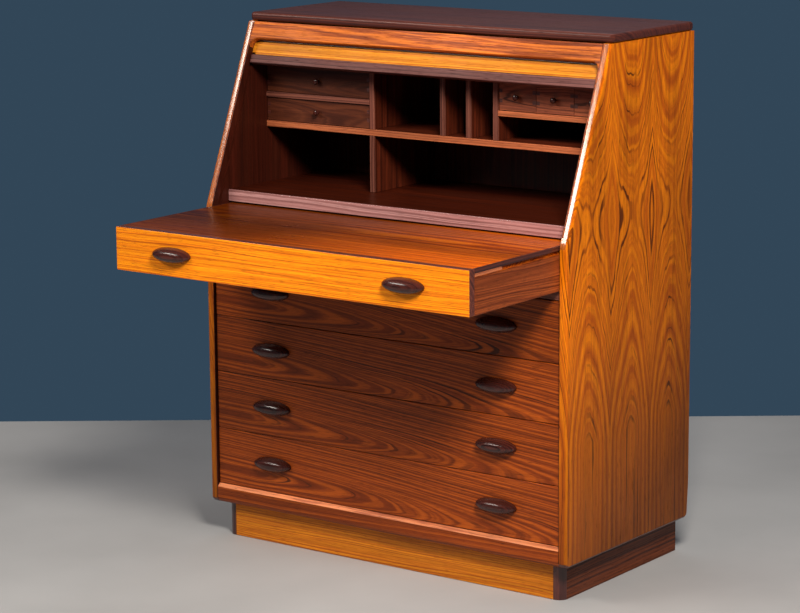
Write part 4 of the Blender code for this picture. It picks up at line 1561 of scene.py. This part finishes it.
@dataclass
class Tambour:
    """The curtain of slats on canvas, with its grip rail and lead slat."""

    bench: Bench
    rows: RowTree
    slope: Slope
    track: Track
    open_at: float = 0.3245
    pitch: float = 0.0198
    gap: float = 0.0018
    thick: float = 0.0065
    first: float = 0.051
    slat_length: float = 0.869
    canvas_thick: float = 0.0009
    canvas_reach: float = 0.4300
    rail_reach: float = 0.440
    lead_reach: float = 0.4345
    tongue_reach: float = 0.4455
    groups: tuple[tuple[str, int], ...] = (
        ("tambour_slat_1", 1),
        ("tambour_slat_2", 1),
        ("tambour_slat_3", 1),
        ("tambour_back_1", 6),
        ("tambour_back_2", 7),
    )

    def build(self) -> None:
        """Make the rail, the lead slat and the rest of the slats."""
        self.build_rail()
        self.build_lead()
        start = self.first
        for name, count in self.groups:
            self.build_group(name, count, start)
            start += count * self.pitch

    def bar(
        self, name: str, node: str, corners: Sequence[Point2], reach: float, finish: Finish, radius: float
    ) -> None:
        """Make a bar across the desk, with tongues at its ends.

        Args:
            name: The piece's name.
            node: The CAD node that it stands for.
            corners: Its section, as lengths up the slope and behind it.
            reach: Half its length.
            finish: Its wood.
            radius: Rounding of its edges.
        """
        outline = [tuple(self.slope.point(self.open_at + up, behind)) for up, behind in corners]
        form = Form.prism(outline, -reach, reach, across)
        form.ease(radius, 3)
        self.bench.piece(name, form, "tambour_lead", finish, Lay.ACROSS_FRONT, [node])
        low = self.track.canvas - self.thick + 0.001
        ups = (corners[0][0] + 0.004, corners[1][0] - 0.002)
        high = self.track.canvas - 0.0005
        section = ((ups[0], high), (ups[1], high), (ups[1], low), (ups[0], low))
        tip = self.tongue_reach
        for side, ends in (("left", (-tip, -reach + 0.001)), ("right", (reach - 0.001, tip))):
            outline = [tuple(self.slope.point(self.open_at + up, behind)) for up, behind in section]
            tongue = Form.prism(outline, *ends, across)
            self.bench.piece(f"{name}_tongue_{side}", tongue, "tambour_lead", finish, Lay.ACROSS_FRONT)

    def build_rail(self) -> None:
        """Make the grip rail at the curtain's edge."""
        corners = ((0.0, 0.027), (0.0195, 0.027), (0.0195, 0.012), (0.0, 0.012))
        finish = replace(DARK_WOOD, name="rail_wood", light=(0.17, 0.065, 0.055))
        finish = replace(finish, middle=(0.105, 0.040, 0.036), roughness=0.5, gloss=0.2, coat=0.0)
        self.bar("grip_rail_eased", "grip_rail", corners, self.rail_reach, finish, 0.0020)

    def build_lead(self) -> None:
        """Make the wide first slat."""
        face = self.track.canvas - self.thick
        corners = ((0.0203, 0.024), (0.0492, 0.024), (0.0492, face), (0.0203, face))
        self.bar("lead_slat_eased", "lead_slat", corners, self.lead_reach, SLAT_WOOD, 0.0012)

    def build_group(self, name: str, count: int, start: float) -> None:
        """Make one stiff group: its slats and the canvas behind them."""
        length = count * self.pitch - self.gap
        ends = [self.track.at(self.open_at + start), self.track.at(self.open_at + start + length)]
        way = (ends[1] - ends[0]).normalized()
        corner = (ends[0] + ends[1]) / 2 - way * length / 2
        out = Vector((-way.y, way.x))
        turn = Matrix((
            (1.0, 0.0, 0.0, 0.0),
            (0.0, way.x, out.x, corner.x),
            (0.0, way.y, out.y, corner.y),
            (0.0, 0.0, 0.0, 1.0),
        ))
        face = self.pitch - self.gap
        canvas = self.canvas_thick
        values = {
            "Count": count,
            "Step": (0.0, self.pitch, 0.0),
            "Length": self.slat_length,
            "Width": face,
            "Thickness": self.thick - canvas,
            "Rounding": 0.0018,
            "Taper": 0.06,
        }
        place = turn @ Matrix.Translation((0.0, face / 2, canvas + (self.thick - canvas) / 2))
        obj = self.bench.place(f"{name}_slats", self.rows.mesh(f"{name}_slats", values, place))
        self.bench.finish(obj, name, SLAT_WOOD, Lay.ACROSS_TOP, [name])
        reach = self.canvas_reach
        web = Form.box((-reach, 0.0005, 0.0), (reach, length - 0.0005, canvas), 0.0002, 1)
        bmesh.ops.transform(web.mesh, matrix=turn, verts=web.mesh.verts)
        self.bench.piece(f"{name}_canvas", web, name, CANVAS, Lay.ACROSS_TOP)


# ---------------------------------------------------------------- the studio


@dataclass
class Studio:
    """Floor, soft lights, dim surroundings and the camera."""

    shift: float
    azimuth: float = math.radians(36.215)
    elevation: float = math.radians(11.352)
    roll: float = math.radians(-0.427)
    spot: tuple[float, float, float] = (3.3228, -4.4628, 1.6770)
    lens: float = 124.245
    behind: float = 1.27

    def build(self) -> None:
        """Set up everything round the desk."""
        self.build_floor()
        self.build_world()
        self.area("edge_light", (-1.55, -2.02, 2.33), (0.0, 0.05, 0.93), (1.55, 0.40), 40.0, (1.0, 0.94, 0.85))
        self.area("key_light", (1.95, -1.65, 2.75), (0.30, 0.0, 0.80), (0.8, 0.8), 150.0, (1.0, 0.94, 0.86))
        bpy.data.objects["key_light"].visible_glossy = False
        self.area("top_light", (-0.4, 1.4, 3.0), (0.0, 0.2, 0.9), (1.4, 1.4), 10.0, (0.92, 0.96, 1.0))
        self.build_camera()

    def build_floor(self) -> None:
        """Lay a plain pale floor with a faint mottle, square to the camera."""
        form = Form()
        turn = Matrix.Rotation(self.azimuth, 4, "Z")
        corners = ((-9.0, -9.0), (9.0, -9.0), (9.0, self.behind), (-9.0, self.behind))
        form.mesh.faces.new([form.mesh.verts.new(turn @ Vector((x, y, 0.0))) for x, y in corners])
        floor = add("floor", form.to_mesh("floor"))
        floor.location = (0.0, 0.0, -0.0005)
        material = bpy.data.materials.new("pale_floor")
        material.use_nodes = True
        g = Graph(material.node_tree)
        shader = material.node_tree.nodes["Principled BSDF"]
        here = g.node("ShaderNodeTexCoord").outputs["Object"]
        mottle = g.span(g.noise(here, (1.3, 1.3, 1.3), 6.0).outputs["Fac"], 0.3, 0.7)
        colour = g.mix(mottle, (0.36, 0.355, 0.355, 1.0), (0.48, 0.475, 0.475, 1.0))
        material.node_tree.links.new(colour, shader.inputs["Base Color"])
        shader.inputs["Roughness"].default_value = 0.65
        floor.data.materials.append(material)

    @staticmethod
    def build_world() -> None:
        """Make the surroundings dim and cool low down and soft and pale overhead."""
        world = bpy.data.worlds.new("studio")
        world.use_nodes = True
        bpy.context.scene.world = world
        g = Graph(world.node_tree)
        background = world.node_tree.nodes["Background"]
        way = g.node("ShaderNodeSeparateXYZ", None, Vector=g.node("ShaderNodeTexCoord").outputs["Generated"])
        height = g.span(way.outputs[2], 0.10, 0.80)
        colour = g.mix(height, (0.040, 0.077, 0.120, 1.0), (0.10, 0.11, 0.13, 1.0))
        world.node_tree.links.new(colour, background.inputs["Color"])
        background.inputs["Strength"].default_value = 0.8

    def area(
        self, name: str, spot: Sequence[float], aim: Sequence[float], size: Point2, power: float, colour: Colour
    ) -> None:
        """Hang a soft light.

        Args:
            name: Its name.
            spot: Where it hangs, measured from the case's front.
            aim: The point that it faces.
            size: Its width and height.
            power: Watts.
            colour: Its colour.
        """
        lamp = bpy.data.lights.new(name, "AREA")
        lamp.shape, lamp.energy, lamp.color = "RECTANGLE", power, colour
        lamp.size, lamp.size_y = size
        holder = add(name, lamp)
        start = Vector(spot) + Vector((0.0, self.shift, 0.0))
        end = Vector(aim) + Vector((0.0, self.shift, 0.0))
        holder.location = start
        holder.rotation_euler = (end - start).to_track_quat("-Z", "Y").to_euler()

    def build_camera(self) -> None:
        """Stand the camera to the right of the desk, a little above the writing slide."""
        camera = bpy.data.cameras.new("camera")
        camera.lens, camera.sensor_width, camera.sensor_fit = self.lens, 36.0, "HORIZONTAL"
        holder = add("camera", camera)
        sine, cosine = math.sin(self.azimuth), math.cos(self.azimuth)
        lift = math.cos(self.elevation)
        back = Vector((sine * lift, -cosine * lift, math.sin(self.elevation)))
        right = Vector((cosine, sine, 0.0))
        up = back.cross(right)
        tilted = right * math.cos(self.roll) + up * math.sin(self.roll)
        up = up * math.cos(self.roll) - right * math.sin(self.roll)
        turn = Matrix((tilted, up, back)).transposed().to_4x4()
        x, y, z = self.spot
        holder.matrix_world = Matrix.Translation((x, y + self.shift, z)) @ turn
        bpy.context.scene.camera = holder
        bpy.context.scene.view_settings.view_transform = "Standard"


def main() -> None:
    """Build the desk's pieces and the studio."""
    logging.basicConfig(level=logging.INFO, format="%(name)s: %(message)s")
    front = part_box("side_panel_left")[0].y
    slope = Slope(front)
    track = Track(slope)
    bench = Bench()
    rows = RowTree()
    Case(bench, slope, track).build()
    Inside(bench).build()
    for word in ("upper", "lower", "a", "b", "c"):
        SmallDrawer(bench, rows, f"small_drawer_{word}").build()
    for number in range(1, 5):
        WideDrawer(bench, rows, number).build()
    WritingSlide(bench).build()
    Tambour(bench, rows, slope, track).build()
    Studio(front).build()


if __name__ == "__main__":
    main()
